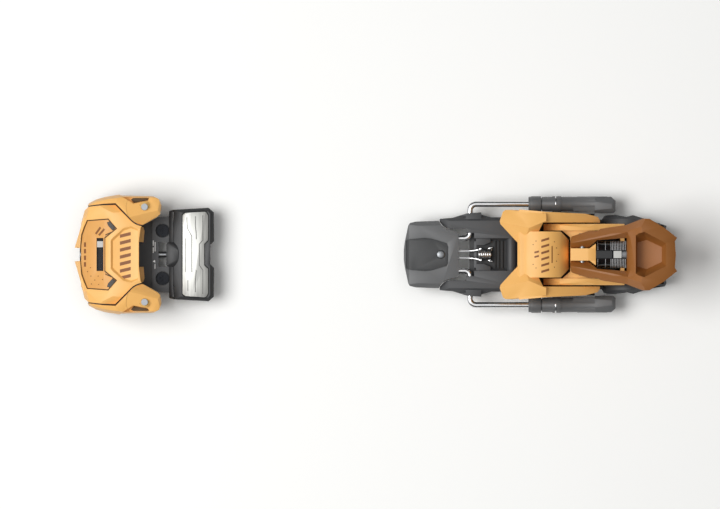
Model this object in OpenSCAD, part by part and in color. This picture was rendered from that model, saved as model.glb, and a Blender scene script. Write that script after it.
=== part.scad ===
// Step-in ski binding: a toe piece with two swinging wings and a sliding sole plate, and a heel
// piece with a sprung jaw, an opening lever and a ski brake. Both stand on one ski.
// X runs from the tip of the ski to its tail, Y to the skier's right, Z up from the ski's top
// surface. The origin is the centre of the toe's four ski screws. The binding is drawn closed.

/* [Boot] */
// Length of the boot sole that the binding is set to
boot_sole_length = 303; // [296:1:312]
// Height of the boot sole above the ski
stand_height = 17; // [17:0.1:17.2]
// Thickness of the boot's toe lug
toe_lug = 19; // [18.8:0.1:19.2]
// Thickness of the boot's heel lug
heel_lug = 30; // [30:0.1:30.4]

/* [Ski screws] */
// Spacing of the toe screws along the ski
toe_screw_x = 42; // [41.6:0.1:42.2]
// Spacing of the toe screws across the ski
toe_screw_y = 36.4; // [36:0.1:37]
// Spacing of the heel screws along the ski
heel_screw_x = 72; // [70:1:74]
// Spacing of the heel screws across the ski
heel_screw_y = 30; // [29:0.5:31]
// Diameter of a ski screw's thread
screw_d = 5.5; // [5:0.1:5.6]
// Depth of a ski screw below the ski's surface
screw_depth = 9; // [7:0.5:9.5]

/* [Toe piece] */
// Distance between the two wing pins
wing_pin_spacing = 72.2; // [72:0.1:72.4]
// Diameter of a wing pin
wing_pin_d = 5; // [4.8:0.1:5]
// Diameter of the axle that the toe head tilts on
tilt_axle_d = 5; // [4.8:0.1:5]

/* [Brake] */
// Diameter of the brake's steel wire
brake_wire_d = 4.5; // [4.4:0.1:4.6]
// Distance between the centres of the two brake arms
brake_arm_spacing = 77; // [76.6:0.1:77.4]

/* [Heel piece] */
// Diameter of the axle that the heel jaw turns on
jaw_axle_d = 8; // [7.6:0.1:8]
// Diameter of the release spring's sleeve
sleeve_d = 20.6; // [20.2:0.1:20.6]

/* [Hidden] */
$fn = 64;

// Colours
housing_yellow = "#F2B866";
lever_brown = "#9A6430";
base_black = "#2F3033";
pedal_grey = "#616263";
steel = "#C9CCD0";
marker_white = "#F2F2F0";

// Clearances: a shaft in its bore, two faces that slide, and two parts that only stand close
fit = 0.05;
gap = 0.3;

// Heights above the ski
lip_toe_z = stand_height + toe_lug + 0.8;
lip_heel_z = stand_height + heel_lug;
heel_x = boot_sole_length - 3;

// Wings: the pin is the centre of a round seam between the wing and the fixed housing
pin_x = 8.1;
pin_y = wing_pin_spacing / 2;
wing_r = 13.8;
seam_r = wing_r + gap;
pin_z0 = 10;
pin_z1 = 47;
bush_r = 4;

// Toe base
base_front_x = -40;
base_deck_x = 13;
base_rear_x = 26;
base_deck_z = 9.5;
base_plate_z = 5;
tongue_z = 3;
tongue_x1 = 57;
tongue_y = 24;
tilt_x = -33;
tilt_z = 9.5;

// Sole plate of the toe (anti-friction device)
afd_z1 = stand_height - 1;
afd_drop = 2;
afd_slide = 6;
afd_screw_z = 5.6;
afd_screw_r = 2.2;
wedge_x0 = 34;
wedge_x1 = 44;
wedge_low_z = 8.2;
wedge_slope = 15;
wedge_rise = (wedge_x1 - wedge_x0) * tan(wedge_slope);

// Toe head
floor_z0 = 10;
floor_z1 = 13;
shell_z0 = 15.3;
roof_line = [[-46, 24], [-41, 31.5], [-36, 36.5], [-23, 43.5], [-16, 46], [6, 44.6]];
release_z = 25;
release_screw_r = 3;
panel_t = 2;
window_x0 = -28.4;
window_x1 = -23.1;
window_y = 12.5;

// Heel piece, in its own X from the back of the boot's heel
axle_x = 46;
axle_z = 24;
lever_axle_x = 40;
lever_axle_z = 50;
sleeve_z = 42;
sleeve_x1 = 73.4;
track_x0 = -45;
track_x1 = 100;
track_z = 5;
track_y = 24;
track_foot_y = 21;
length_z = 9.6;
floor_top_z = 10;
rail_z = 15;
brake_x = -44.6;
brake_z = 10;
wire_r = brake_wire_d / 2;
arm_y = brake_arm_spacing / 2;
crank_y = 12.4;
bend_r = 4.5;
pedal_z0 = 12.5;
barrel_x = 8;
barrel_z = 38;
barrel_r = 22;
housing_y = 23.2;
cheek_y = 19;

// ---- Shared shapes ----

// A half outline on the +Y side, joined to its mirror image
function both(half) =
    concat(half, [for (i = [len(half) - 1 : -1 : 0]) [half[i][0], -half[i][1]]]);
// The same for a front profile, whose first coordinate is Y
function across(half) =
    concat(half, [for (i = [len(half) - 1 : -1 : 0]) [-half[i][0], half[i][1]]]);
function arc(x, y, r, a0, a1, n) =
    [for (i = [0 : n]) let (a = a0 + (a1 - a0) * i / n) [x + r * cos(a), y + r * sin(a)]];
// A roof line closed into a band that reaches down by t
function band(line, t) =
    concat(line, [for (i = [len(line) - 1 : -1 : 0]) [line[i][0], line[i][1] - t]]);
function under(line, z) = concat(line, [[line[len(line) - 1][0], z], [line[0][0], z]]);

module plan(outline, z0, z1) translate([0, 0, z0]) linear_extrude(z1 - z0) polygon(outline);
module side(profile, y0, y1)
    translate([0, y1, 0]) rotate([90, 0, 0]) linear_extrude(y1 - y0) polygon(profile);
module front(profile, x0, x1)
    translate([x0, 0, 0]) rotate([90, 0, 90]) linear_extrude(x1 - x0) polygon(profile);
module block(x0, x1, y0, y1, z0, z1) translate([x0, y0, z0]) cube([x1 - x0, y1 - y0, z1 - z0]);
module rod_x(x0, x1, y, z, r) translate([x0, y, z]) rotate([0, 90, 0]) cylinder(h = x1 - x0, r = r);
module rod_y(y0, y1, x, z, r) translate([x, y1, z]) rotate([90, 0, 0]) cylinder(h = y1 - y0, r = r);
module rod_z(z0, z1, x, y, r) translate([x, y, z0]) cylinder(h = z1 - z0, r = r);
module mirrored() {
    children();
    mirror([0, 1, 0]) children();
}
module on_side(s) {
    if (s > 0) children();
    else mirror([0, 1, 0]) children();
}
module at_heel() translate([heel_x, 0, 0]) children();

// A ski screw: a low head, a narrow neck, the threaded shank and a point, with a cross recess
module ski_screw(head_z) {
    head_r = 4.7;
    head_t = 2;
    neck_r = 2.4;
    point = 2.5;
    recess_d = 1.4;
    difference() {
        union() {
            rod_z(head_z, head_z + head_t, 0, 0, head_r);
            rod_z(-0.5, head_z, 0, 0, neck_r);
            rod_z(point - screw_depth, 0, 0, 0, screw_d / 2);
            translate([0, 0, -screw_depth]) cylinder(h = point, r1 = 0.6, r2 = screw_d / 2);
        }
        for (a = [0, 90]) rotate(a)
            block(-2.4, 2.4, -0.6, 0.6, head_z + head_t - recess_d, head_z + head_t + 1);
    }
}

module screw_seat(head_z) {
    rod_z(-1, head_z + 1, 0, 0, screw_d / 2 + gap);
    rod_z(head_z, head_z + 20, 0, 0, 5.4);
}

// A ring stack in place of a coil spring's turns, along X
module coil_x(x0, x1, y, z, r, wire, turns) {
    pitch = (x1 - x0 - wire) / turns;
    for (i = [0 : turns])
        translate([x0 + wire / 2 + i * pitch, y, z]) rotate([0, 90, 0])
            rotate_extrude($fn = 48) translate([r, 0]) circle(d = wire, $fn = 16);
    for (i = [0 : turns - 1])
        rod_x(x0 + wire / 2 + i * pitch, x0 + wire / 2 + (i + 1) * pitch, y + r, z, wire / 3);
}

// ---- Toe piece: what stays on the ski ----

toe_screw_seat_z = 2.6;
toe_deck_screw_z = 4;

module toe_screw_places() {
    mirrored() {
        translate([-toe_screw_x / 2, toe_screw_y / 2, 0]) children(0);
        translate([toe_screw_x / 2, toe_screw_y / 2, 0]) children(1);
    }
}

module toe_base() color(base_black) {
    deck = both([[base_deck_x, 26], [17.9, 28.7], [base_rear_x, 29.1]]);
    plate = both([[base_front_x, 17], [-36, 22], [5, 22.3], [base_deck_x, 26]]);
    lug_y0 = 14;
    lug_y1 = 18;
    difference() {
        union() {
            plan(plate, 0, base_plate_z);
            plan(deck, 0, base_deck_z);
            block(base_rear_x, tongue_x1, -tongue_y, tongue_y, 0, tongue_z);
            mirrored() block(34, 54, 21, tongue_y, tongue_z, 8);
            mirrored() block(tilt_x - 4, tilt_x + 4, lug_y0, lug_y1, base_plate_z, tilt_z);
            mirrored() rod_y(lug_y0, lug_y1, tilt_x, tilt_z, 4);
        }
        toe_screw_places() {
            screw_seat(toe_screw_seat_z);
            screw_seat(toe_deck_screw_z);
        }
        // Opening in the deck, with the adjusting screw across it
        block(17.9, 24.6, -9.3, 9.3, -1, base_deck_z + 1);
        rod_x(15, 18, 0, afd_screw_z, afd_screw_r + fit);
        block(24, base_rear_x + 1, -3, 3, tongue_z, base_deck_z + 1);
        rod_y(lug_y0 - 1, lug_y1 + 1, tilt_x, tilt_z, tilt_axle_d / 2 + fit);
        mirror([0, 1, 0]) rod_y(lug_y0 - 1, lug_y1 + 1, tilt_x, tilt_z, tilt_axle_d / 2 + fit);
    }
}

module toe_ski_screws() color("#26272A") toe_screw_places() {
    ski_screw(toe_screw_seat_z);
    ski_screw(toe_deck_screw_z);
}

module toe_tilt_axle() color(steel) rod_y(-18.5, 18.5, tilt_x, tilt_z, tilt_axle_d / 2);

// ---- Toe piece: the sole plate ----

module afd_carrier() color(base_black) {
    skirt_y0 = tongue_y + gap;
    skirt_y1 = 26;
    plate_z0 = 11.3;
    plate_z1 = 13.3;
    rib_z = wedge_low_z + gap;
    rib = [[wedge_x0, rib_z], [wedge_x1, rib_z + wedge_rise], [wedge_x1, plate_z0 + 1],
           [wedge_x0, plate_z0 + 1]];
    difference() {
        union() {
            block(31, 56, -skirt_y1, skirt_y1, plate_z0, plate_z1);
            mirrored() block(31, 56, skirt_y0, skirt_y1, 4, plate_z1);
            mirrored() side(rib, 2.6, 7.5);
        }
        block(wedge_x1 + 0.2, 57, -8.5, 8.5, 0, plate_z1 + 1);
    }
}

module afd_wedge() color("#8A8C90") {
    wedge = [[wedge_x0, 3.3], [wedge_x1, 3.3], [wedge_x1, wedge_low_z + wedge_rise],
             [wedge_x0, wedge_low_z]];
    difference() {
        side(wedge, -7, 7);
        rod_x(wedge_x0 - 1, wedge_x1 + 1, 0, afd_screw_z, afd_screw_r + fit);
    }
}

module afd_screw() color(steel) difference() {
    rod_x(15.2, 56.5, 0, afd_screw_z, afd_screw_r);
    block(55.3, 57, -1.6, 1.6, afd_screw_z - 0.4, afd_screw_z + 0.4);
}

afd_outline = both([
    [26.4, 26], [26.4, 33.3], [28.6, 34.2], [55.9, 35.8], [60.1, 32.1], [60.3, 10.1],
    [57.6, 7.5]
]);
afd_plate_outline = both([
    [36.2, 30], [38.5, 31.8], [53, 32.6], [54.4, 32.2], [55.9, 29.5], [55.9, 11],
    [52.9, 8.2]
]);
afd_pocket_z = afd_z1 - 1.2;

module afd_frame() color(base_black) {
    inner_y = 32.3;
    boss = both([[24.6, 6], [25.6, 8.6], [32, 8.6]]);
    difference() {
        union() {
            plan(afd_outline, 5.5, afd_z1);
            plan(boss, 12, afd_z1 - 0.8);
        }
        block(29, 57.3, -inner_y, inner_y, 0, afd_z1 - 2.4);
        block(26, 30, -10, 10, 0, 12);
        block(57, 62, -5, 5, 0, afd_z1 - 2.4);
        plan(afd_plate_outline, afd_pocket_z, afd_z1 + 1);
        // The front slope of the plate's frame
        side([[26, afd_z1 - 1.5], [30, afd_z1], [26, afd_z1 + 1]], -40, 40);
    }
}

module afd_steel_plate() color("#E8E9EA") {
    plate_profile = [[36, 14], [36, afd_z1 + 0.1], [42.5, stand_height], [57, stand_height],
                     [57, 14]];
    groove_y = [-24, -12, 12, 24];
    difference() {
        intersection() {
            plan(afd_plate_outline, afd_pocket_z, stand_height);
            side(plate_profile, -40, 40);
        }
        // Shallow grooves that shed snow
        mirrored() block(44.6, 45.6, 14, 30, stand_height - 0.4, stand_height + 1);
        mirrored() block(50.8, 51.8, 14, 30, stand_height - 0.4, stand_height + 1);
        block(42.8, 43.8, -14, 14, stand_height - 0.4, stand_height + 1);
    }
}

module afd_return_springs() color(steel) mirrored()
    translate([0, 26.4, 0]) rotate(90) coil_x(0, 5.5, -50, 8.8, 1.8, 0.8, 4);

// ---- Toe piece: the head that tilts ----

seam_line = concat(
    [[-14, 38.1]],
    arc(pin_x, pin_y, seam_r, 225, 263, 6)
);
housing_outline = both(concat(
    [[-40.6, 24], [-39.4, 27.6], [-37.9, 33.7], [-35.6, 35.8], [-35.2, 36.6], [-23.1, 37.8]],
    seam_line,
    [[5.2, 20.8], [3.8, 10], [3.2, 0.01]]
));
cavity_outline = both([
    [-38.2, 23], [-37, 27], [-35.6, 33], [-23.1, 35.2], [-14.8, 35.4], [-4, 24.6], [7, 24.6]
]);
housing_front_profile = across([[38.8, 15], [38.8, 38.5], [27, 47.5]]);
panel_outline = both([
    [-40.4, 6], [-39.4, 14.7], [-37.5, 20], [-35.3, 25.3], [-19.7, 26.4], [-13.6, 19.6],
    [-22.3, 13.1]
]);

module toe_chassis() color("#3A3B3E") {
    eye_r = 4.2;
    eye_y = 13.7;
    ear = [[-22, 20], [-22, 33], [0, 41.5], [pin_x, pin_y + 6.5], [pin_x, pin_y - 6.5], [-6, 20]];
    spring_wall_x = -17;
    stop_x = -6;
    difference() {
        union() {
            block(-28.5, -4, -24, 24, floor_z0, floor_z1);
            block(-37, -28, -eye_y, eye_y, floor_z0, floor_z1);
            rod_y(-eye_y, eye_y, tilt_x, tilt_z, eye_r);
            mirrored() plan(ear, floor_z0, 15);
            mirrored() rod_z(floor_z0, 15, pin_x, pin_y, 6.5);
            block(spring_wall_x, spring_wall_x + 2.5, -12, 12, floor_z1 - 1, 34);
            block(stop_x, stop_x + 2, -15, 15, floor_z1 - 1, 36);
        }
        rod_y(-20, 20, tilt_x, tilt_z, tilt_axle_d / 2 + fit);
        mirrored() rod_z(0, 20, pin_x, pin_y, wing_pin_d / 2 + fit);
        rod_x(spring_wall_x - 1, spring_wall_x + 4, 0, release_z, release_screw_r + gap);
    }
}

module toe_housing() color(housing_yellow) {
    fang = [[-36, 4.4], [-45.9, 5.2], [-42.9, 14.7], [-39.4, 27.6], [-36, 27.6]];
    fang_side = [[-46, 12.5], [-36, 12.5], [-36, 30], [-41, 30], [-46, 20]];
    shell = under(roof_line, shell_z0);
    difference() {
        union() {
            intersection() {
                plan(housing_outline, shell_z0, 50);
                side(shell, -40, 40);
                front(housing_front_profile, -50, 10);
            }
            mirrored() intersection() {
                plan(fang, 12, 30);
                side(fang_side, 0, 40);
            }
        }
        // Inside of the shell
        intersection() {
            plan(cavity_outline, 0, 50);
            side(under([for (p = roof_line) [p[0], p[1] - 5]], 0), -40, 40);
            front(across([[36, -1], [36, 35.5], [24, 43.5]]), -50, 10);
        }
        // Room for the boot's toe, and for the wing arms to swing
        block(-4, 10, -40, 40, 0, lip_toe_z);
        mirrored() plan([[-20, 20], [-20, 38.6], [10, 38.6], [10, 10]], 0, 32);
        // Pocket of the top panel, the scale's window and the hole for the release screw
        intersection() {
            plan(both([for (p = [[-41, 6.2], [-39.6, 15], [-37.7, 20.2], [-35.5, 25.6], [-19.6, 26.7],
                                 [-13.2, 19.6], [-22.1, 12.9]]) p]), 0, 60);
            side(concat([for (p = roof_line) [p[0], p[1] - panel_t - 0.1]], [[6, 60], [-46, 60]]),
                 -40, 40);
        }
        block(-30, -21.5, -14, 14, 30, 60);
        rod_x(-50, -36, 0, release_z, 5.6);
        // The sunken field behind the panel
        intersection() {
            plan(both([[-18.4, 10.8], [-8.2, 20.4], [-2.5, 22.2], [6, 20]]), 40, 60);
            side([[-18.4, 46.5], [-16.6, 43.9], [6, 44.3], [6, 60], [-18.4, 60]], -40, 40);
        }
    }
}

module toe_top_panel() color("#EDB765") difference() {
    intersection() {
        plan(panel_outline, 20, 60);
        side(band(roof_line, panel_t), -40, 40);
    }
    block(window_x0, window_x1, -window_y, window_y, 30, 60);
}

module toe_scale_lens() color("#202326", 0.5)
    block(window_x0 + 0.1, window_x1 - 0.1, -window_y + 0.1, window_y - 0.1, 39.4, 40.4);

module toe_scale_strip() color("#17181A") block(-29.6, -21.9, -13.4, 13.4, 35.4, 36.6);

indicator_y = 7.8;
module toe_indicator() color(marker_white)
    block(-28, -23.5, indicator_y - 2.3, indicator_y + 2.3, 36.9, 38.6);

// A pocket in the outer side of the shell, across the round seam
module side_pocket()
    plan([[-9.6, 44.6], [-0.3, 38.6], [11, 41], [13.6, 44.2], [13.6, 50], [-9.6, 50]], 37.5, 60);

// Fixed side cowl, ahead of the round seam of the wing
module toe_cowl(s) color(housing_yellow) on_side(s) {
    outline = concat(
        [[-35.2, 37], [-34.9, 39], [-29.2, 42], [-22.3, 43.9], [-11.7, 45.4], [-3.2, 44.6]],
        arc(pin_x, pin_y, seam_r, 143, 205, 8),
        [[-5.6, 30.2], [-13.8, 38.6], [-23.1, 38.2]]
    );
    profile = [[28, shell_z0], [28, 43.5], [35, 41.5], [40, 37.5], [46, 29], [46, shell_z0]];
    difference() {
        intersection() {
            plan(outline, shell_z0, 50);
            front(profile, -40, 0);
        }
        // Room for the wing's arm
        plan([[-13.4, 27], [-12.4, 31.2], [-11, 32.5], [0, 39.6], [0, 27]], 17, 23.5);
        side_pocket();
    }
}

module toe_spring() color(steel) coil_x(-32.6, -17.2, 0, release_z, 6.6, 2.2, 5);

// A flat on the nut lies under the roof of the shell and keeps it from turning
module toe_spring_nut() color("#9A9DA1") difference() {
    rod_x(-35.4, -32.8, 0, release_z, 8);
    rod_x(-40, -30, 0, release_z, release_screw_r + fit);
    block(-36, -32, -9, 9, release_z + 5.9, release_z + 9);
}

module toe_release_screw() color("#8F9296") difference() {
    union() {
        rod_x(-41.5, -36.8, 0, release_z, 5);
        rod_x(-37, -11.4, 0, release_z, release_screw_r);
    }
    for (a = [0, 90]) translate([0, 0, release_z]) rotate([a, 0, 0])
        block(-43, -39, -3, 3, -0.7, 0.7);
}

module toe_crosshead() color("#9A9DA1") difference() {
    block(-13.6, -11, -8, 8, 19.5, 30.5);
    rod_x(-15, -9, 0, release_z, release_screw_r + fit);
}

module wing_pin(s) color(steel) on_side(s) rod_z(pin_z0, pin_z1, pin_x, pin_y, wing_pin_d / 2);

module wing_bush(s) color("#B9A36B") on_side(s) difference() {
    rod_z(15.6, 44, pin_x, pin_y, bush_r);
    rod_z(0, 60, pin_x, pin_y, wing_pin_d / 2 + fit);
}

// A wing: a lip over the boot's toe, a cheek beside it, and an arm that reaches into the head
module toe_wing(s) color(housing_yellow) on_side(s) {
    disc = concat(arc(pin_x, pin_y, wing_r, 142, 266, 18));
    outline = concat(
        disc,
        [[17.9, 28.7], [19.8, 30.6], [20.3, 37.5], [18.7, 42], [14.1, 44.3], [-2.6, 44.6]]
    );
    cheek_profile = [[20, 14], [46, 14], [46, 36], [42, 42], [34, 46.5], [20, 45.5]];
    boot_side = [[-10, 10], [-4, 21.5], [5, 28.5], [12, 30.2], [22, 33.5], [22, 10]];
    arm = [[5, 32], [-9.5, 25], [-12.5, 28], [-11, 31.5], [4, 41]];
    difference() {
        union() {
            intersection() {
                plan(outline, 15.6, 50);
                front(cheek_profile, -20, 30);
            }
            plan(arm, 17.5, 23);
        }
        plan(boot_side, 0, lip_toe_z);
        side_pocket();
        rod_z(0, 44, pin_x, pin_y, bush_r + fit);
        rod_z(43, 60, pin_x, pin_y, wing_pin_d / 2 + gap);
    }
}

// ---- Heel piece: what stays on the ski ----

heel_screw_x0 = -34;
heel_screw_z = 1.9;

module heel_screw_places() mirrored() for (x = [0, heel_screw_x])
    translate([heel_screw_x0 + x, heel_screw_y / 2, 0]) children();

module heel_track() color("#4A4C50") at_heel() {
    tooth_pitch = 3;
    difference() {
        union() {
            block(track_x0, track_x1, -track_foot_y, track_foot_y, 0, 2.6);
            block(track_x0, track_x1, -track_y, track_y, 2.5, track_z);
        }
        heel_screw_places() screw_seat(heel_screw_z);
        // Rack that the length screw runs in
        for (i = [0 : 11])
            block(62 + i * tooth_pitch, 63.5 + i * tooth_pitch, -4, 4, 3.4, track_z + 1);
    }
}

module heel_ski_screws() color("#8E9196") at_heel() heel_screw_places() ski_screw(heel_screw_z);

// ---- Heel piece: the carriage that slides on the track ----

// The part of the carriage that grips the track's edges
module track_grip(outline, x0, x1) {
    intersection() {
        plan(outline, 0.5, track_z + gap);
        union() {
            mirrored() block(x0, x1, track_y + gap, 40, 0, track_z + 1);
            mirrored() block(x0, x1, track_foot_y + gap, 40, 0, 2.2);
        }
    }
}

brake_base_outline = both([
    [-67.7, 26.6], [-67.5, 27.2], [-57.9, 28], [-46.8, 31.4], [-36.2, 32.1], [-35.8, 30.3],
    [-28.2, 28.4], [-2.2, 28.2]
]);

module brake_base() color(base_black) at_heel() {
    difference() {
        union() {
            plan(brake_base_outline, track_z + gap, rail_z);
            track_grip(brake_base_outline, -70, 0);
        }
        // Room for the pedal, the cranks and the channel between the rails
        plan(both([[-70, 26.6], [-67.2, 24.4], [-65, 21.8], [-62, 20], [-56, 19.8], [-47.6, 19.8],
                   [-47.6, 16.5], [-41.5, 16.5], [-41.5, crank_y]]), 0, 30);
        block(-42, 0, -crank_y, crank_y, 7.3, 30);
        rod_y(10, 40, brake_x, brake_z, wire_r + fit);
        mirror([0, 1, 0]) rod_y(10, 40, brake_x, brake_z, wire_r + fit);
        // Front and rear edges of the rails are sloped
        side([[-71, 9], [-60, 16], [-71, 16]], -40, 40);
    }
}

heel_base_outline = both([
    [-1.9, 28.2], [20, 27.6], [56, 26.5], [57.6, 29.2], [60, 30], [66, 30.3], [74.4, 28.6],
    [79.7, 30], [105.2, 21.9], [104, 15]
]);

module heel_base() color(base_black) at_heel() {
    shoulder = [[57.6, 9], [57.6, 13.5], [61, 16], [80, 16], [92, floor_top_z], [92, 9]];
    lug = [[37, 9], [37, 20], [41, 28], [51, 28], [55, 20], [55, 9]];
    spring_slot_y = 3.7;
    tail_x = 94;
    difference() {
        union() {
            plan(heel_base_outline, track_z + gap, floor_top_z);
            track_grip(heel_base_outline, -1.9, 110);
            intersection() {
                plan(heel_base_outline, 5, 20);
                mirrored() side(shoulder, 24.4, 40);
            }
            side(lug, -11, 11);
            rod_y(-11, 11, axle_x, axle_z, 5);
            intersection() {
                plan(heel_base_outline, track_z + gap, 14);
                side([[88, 9], [94, 13], [106, 13], [106, 9]], -7, 7);
            }
        }
        rod_y(-12, 12, axle_x, axle_z, jaw_axle_d / 2 + fit);
        block(61, tail_x, -spring_slot_y, spring_slot_y, 0, 20);
        rod_x(tail_x - 1, 110, 0, length_z, 2.9 + fit);
        rod_x(103, 110, 0, length_z, 4.2);
    }
}

module jaw_axle() color(steel) at_heel() difference() {
    rod_y(-31, 31, axle_x, axle_z, jaw_axle_d / 2);
    mirrored() rod_y(29.6, 32, axle_x, axle_z, 1.6);
}

module forward_pressure_spring() color(steel) at_heel() coil_x(61.4, 91.5, 0, length_z, 2.5, 1.2, 9);

module length_screw() color("#8F9296") at_heel() difference() {
    union() {
        rod_x(92, 104, 0, length_z, 2.9);
        rod_x(103.4, 107, 0, length_z, 3.9);
    }
    for (a = [0, 90]) translate([0, 0, length_z]) rotate([a, 0, 0])
        block(105.5, 108, -2.6, 2.6, -0.6, 0.6);
}

// ---- Heel piece: the brake ----

pedal_outline = both([
    [-95.1, 4], [-94.3, 10], [-91.7, 22.2], [-90.5, 24], [-86, 25.1], [-68.5, 25.7], [-67, 23],
    [-65.1, 20.7], [-62.4, 18.8], [-56.3, 17.7], [-54, 16.6], [-53.3, 15]
]);
pad_outline = both([[-92, 11], [-79, 12.4], [-74.5, 12], [-62.6, 8.6], [-61.6, 6]]);
pedal_top_z = stand_height - 0.5;
rivet_x = -67;
rivet_r = 3.3;

module brake_pedal() color(pedal_grey) at_heel() {
    clip = [[-78, 7.4], [-62, 7.4], [-60, 13], [-80, 13]];
    profile = [[-96, pedal_z0 - 3], [-90, pedal_z0], [-53, pedal_z0], [-53, pedal_top_z],
               [-91, pedal_top_z], [-96, pedal_top_z - 4]];
    difference() {
        union() {
            intersection() {
                plan(pedal_outline, 8, pedal_top_z);
                side(profile, -40, 40);
            }
            mirrored() side(clip, crank_y - 4, crank_y + 4);
        }
        mirrored() rod_x(-81, -50, crank_y, brake_z, wire_r + fit);
        plan(pad_outline, pedal_top_z - 1.2, pedal_top_z + 1);
        rod_z(0, 30, rivet_x, 0, 1.8);
    }
}

module brake_pedal_pad() color("#4A4B4C") at_heel() difference() {
    plan(pad_outline, pedal_top_z - 1.2, pedal_top_z - 0.3);
    rod_z(0, 30, rivet_x, 0, 1.8);
}

module brake_pedal_rivet() color(steel) at_heel() {
    rod_z(pedal_top_z - 0.3, pedal_top_z + 0.5, rivet_x, 0, rivet_r);
    rod_z(pedal_z0 - 1, pedal_top_z, rivet_x, 0, 1.7);
}

// One brake wire: the arm beside the heel, the part that turns in the base, and the crank
module brake_wire(s) color(steel) at_heel() on_side(s) {
    arm_x = brake_x + bend_r;
    shaft_y0 = crank_y + bend_r;
    shaft_y1 = arm_y - bend_r;
    rod_x(arm_x, 50, arm_y, brake_z, wire_r);
    translate([arm_x, shaft_y1, brake_z]) rotate(90)
        rotate_extrude(angle = 90) translate([bend_r, 0]) circle(r = wire_r);
    rod_y(shaft_y0, shaft_y1, brake_x, brake_z, wire_r);
    translate([brake_x - bend_r, shaft_y0, brake_z]) rotate(-90)
        rotate_extrude(angle = 90) translate([bend_r, 0]) circle(r = wire_r);
    rod_x(-79, brake_x - bend_r, crank_y, brake_z, wire_r);
}

module brake_foot(s) color(pedal_grey) at_heel() on_side(s) {
    tube_r = 5.6;
    shoe = [[51, 31.6], [51, 43], [53, 44], [63, 44], [66.3, 41], [66.3, 33], [65.5, 31.6]];
    difference() {
        union() {
            rod_x(0.7, 52, arm_y, brake_z, tube_r);
            rod_x(0.7, 9, arm_y, brake_z, 6);
            plan(shoe, 4.4, 15.6);
        }
        rod_x(0, 50.5, arm_y, brake_z, wire_r + fit);
    }
}

// Torsion spring in the channel, with a flat tongue that lifts the pedal
module brake_spring() color(steel) at_heel() {
    coil_x0 = -32.4;
    for (i = [-4 : 4]) translate([coil_x0, i * 1.2, 11.8]) rotate([90, 0, 0])
        rotate_extrude($fn = 48) translate([3.2, 0]) circle(d = 1.4, $fn = 16);
    block(-60, coil_x0, -2.2, 2.2, 8.3, 9);
}

// ---- Heel piece: the jaw and the release spring ----

barrel = arc(barrel_x, barrel_z, barrel_r, 112, -5, 14);

module heel_jaw() color(housing_yellow) at_heel() {
    front_outline = both([
        [6.7, 34.5], [-17, 34], [-20.2, 32.5], [-22.6, 25.5], [-22.1, 23], [-9.8, 9.7], [-9.2, 0.01]
    ]);
    barrel_outline = both([[-9.2, 17.4], [23.5, 17.4], [29.9, 11]]);
    lip_profile = [[-24, lip_heel_z], [-24, 50], [-19, 54.5], [-8, 57.5], [12, 58], [12, lip_heel_z]];
    lip_front = across([[34.6, 40], [34.6, 53.5], [20, 58.4], [9.5, 53.5]]);
    barrel_profile = concat([[-9.2, lip_heel_z], [-9.2, 56.5]], barrel, [[8, 36], [1, lip_heel_z]]);
    wall_outline = both([[1, 20], [-2.5, 31.6], [4, 32], [7, 24], [7, 1]]);
    arm_outline = [[-8, 24.3], [-8, 34.2], [12.1, 32.3], [42.5, 31], [52.3, 28.6], [53.6, 26],
                   [53.6, 24.3]];
    arm_profile = [[-8, lip_heel_z], [-8, 57.4], [12, 56], [36, 42.5], [50, 31.4], [54, 27],
                   [54, 21], [50, 17.4], [42, 17.4], [30, 21], [8, 31], [1, 33], [1, lip_heel_z]];
    difference() {
        union() {
            intersection() {
                plan(front_outline, 40, 62);
                side(lip_profile, -40, 40);
                front(lip_front, -30, 20);
            }
            intersection() {
                plan(barrel_outline, 30, 62);
                side(barrel_profile, -20, 20);
            }
            intersection() {
                plan(both([[1, 20], [0.9, 31], [6, 32.8], [7, 24]]), 14, 50);
                block(0, 8, -40, 40, 14, 50);
            }
            mirrored() intersection() {
                plan(arm_outline, 10, 60);
                side(arm_profile, 20, 40);
            }
        }
        rod_y(-40, 40, axle_x, axle_z, jaw_axle_d / 2 + fit);
        // Recesses between the barrel and the arms
        mirrored() block(6.9, 60, 18.6, 24.2, 0, 70);
    }
}

// The spur under the boot's heel that closes the jaw
module heel_treadle() color(base_black) at_heel()
    side([[-9, 12.4], [-7, 16.6], [0.8, 16.6], [0.8, floor_top_z + 0.5], [-7, floor_top_z + 0.5]],
         -11.8, 11.8);

module heel_housing() color(housing_yellow) at_heel() {
    cheek = [[24, 46.5], [24, 36], [32, 30], [39, 18.5], [43, 17], [49, 17], [53, 19], [72, 34],
             [72, 44.2], [50, 44.2], [45, 46.5]];
    roof_x1 = 72;
    bridge = [[31, 40], [31, 57], [44, 57], [50, 53.9], [50, 40]];
    difference() {
        union() {
            mirrored() side(cheek, cheek_y, housing_y);
            block(32, 49.5, -cheek_y - 1, cheek_y + 1, 38, 42.4);
            side(bridge, -4.6, 4.6);
            block(69, roof_x1, -cheek_y - 1, cheek_y + 1, 34, 44.2);
        }
        rod_y(-40, 40, axle_x, axle_z, jaw_axle_d / 2 + fit);
        rod_y(-10, 10, lever_axle_x, lever_axle_z, 2.5 + fit);
        rod_x(47, 90, 0, sleeve_z, sleeve_d / 2 + gap);
        rod_x(30, 49, 0, sleeve_z - 2, 3);
    }
}

module heel_spring_sleeve() color("#1C1D1F") at_heel() difference() {
    union() {
        rod_x(50.3, sleeve_x1, 0, sleeve_z, sleeve_d / 2);
        rod_x(50.3, 53, 0, sleeve_z, sleeve_d / 2 + 0.1);
    }
    rod_x(53, sleeve_x1 + 1, 0, sleeve_z, sleeve_d / 2 - 2);
    // Slot of the indicator
    block(62.5, sleeve_x1 + 1, -3, 3, sleeve_z + 5, 60);
}

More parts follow.
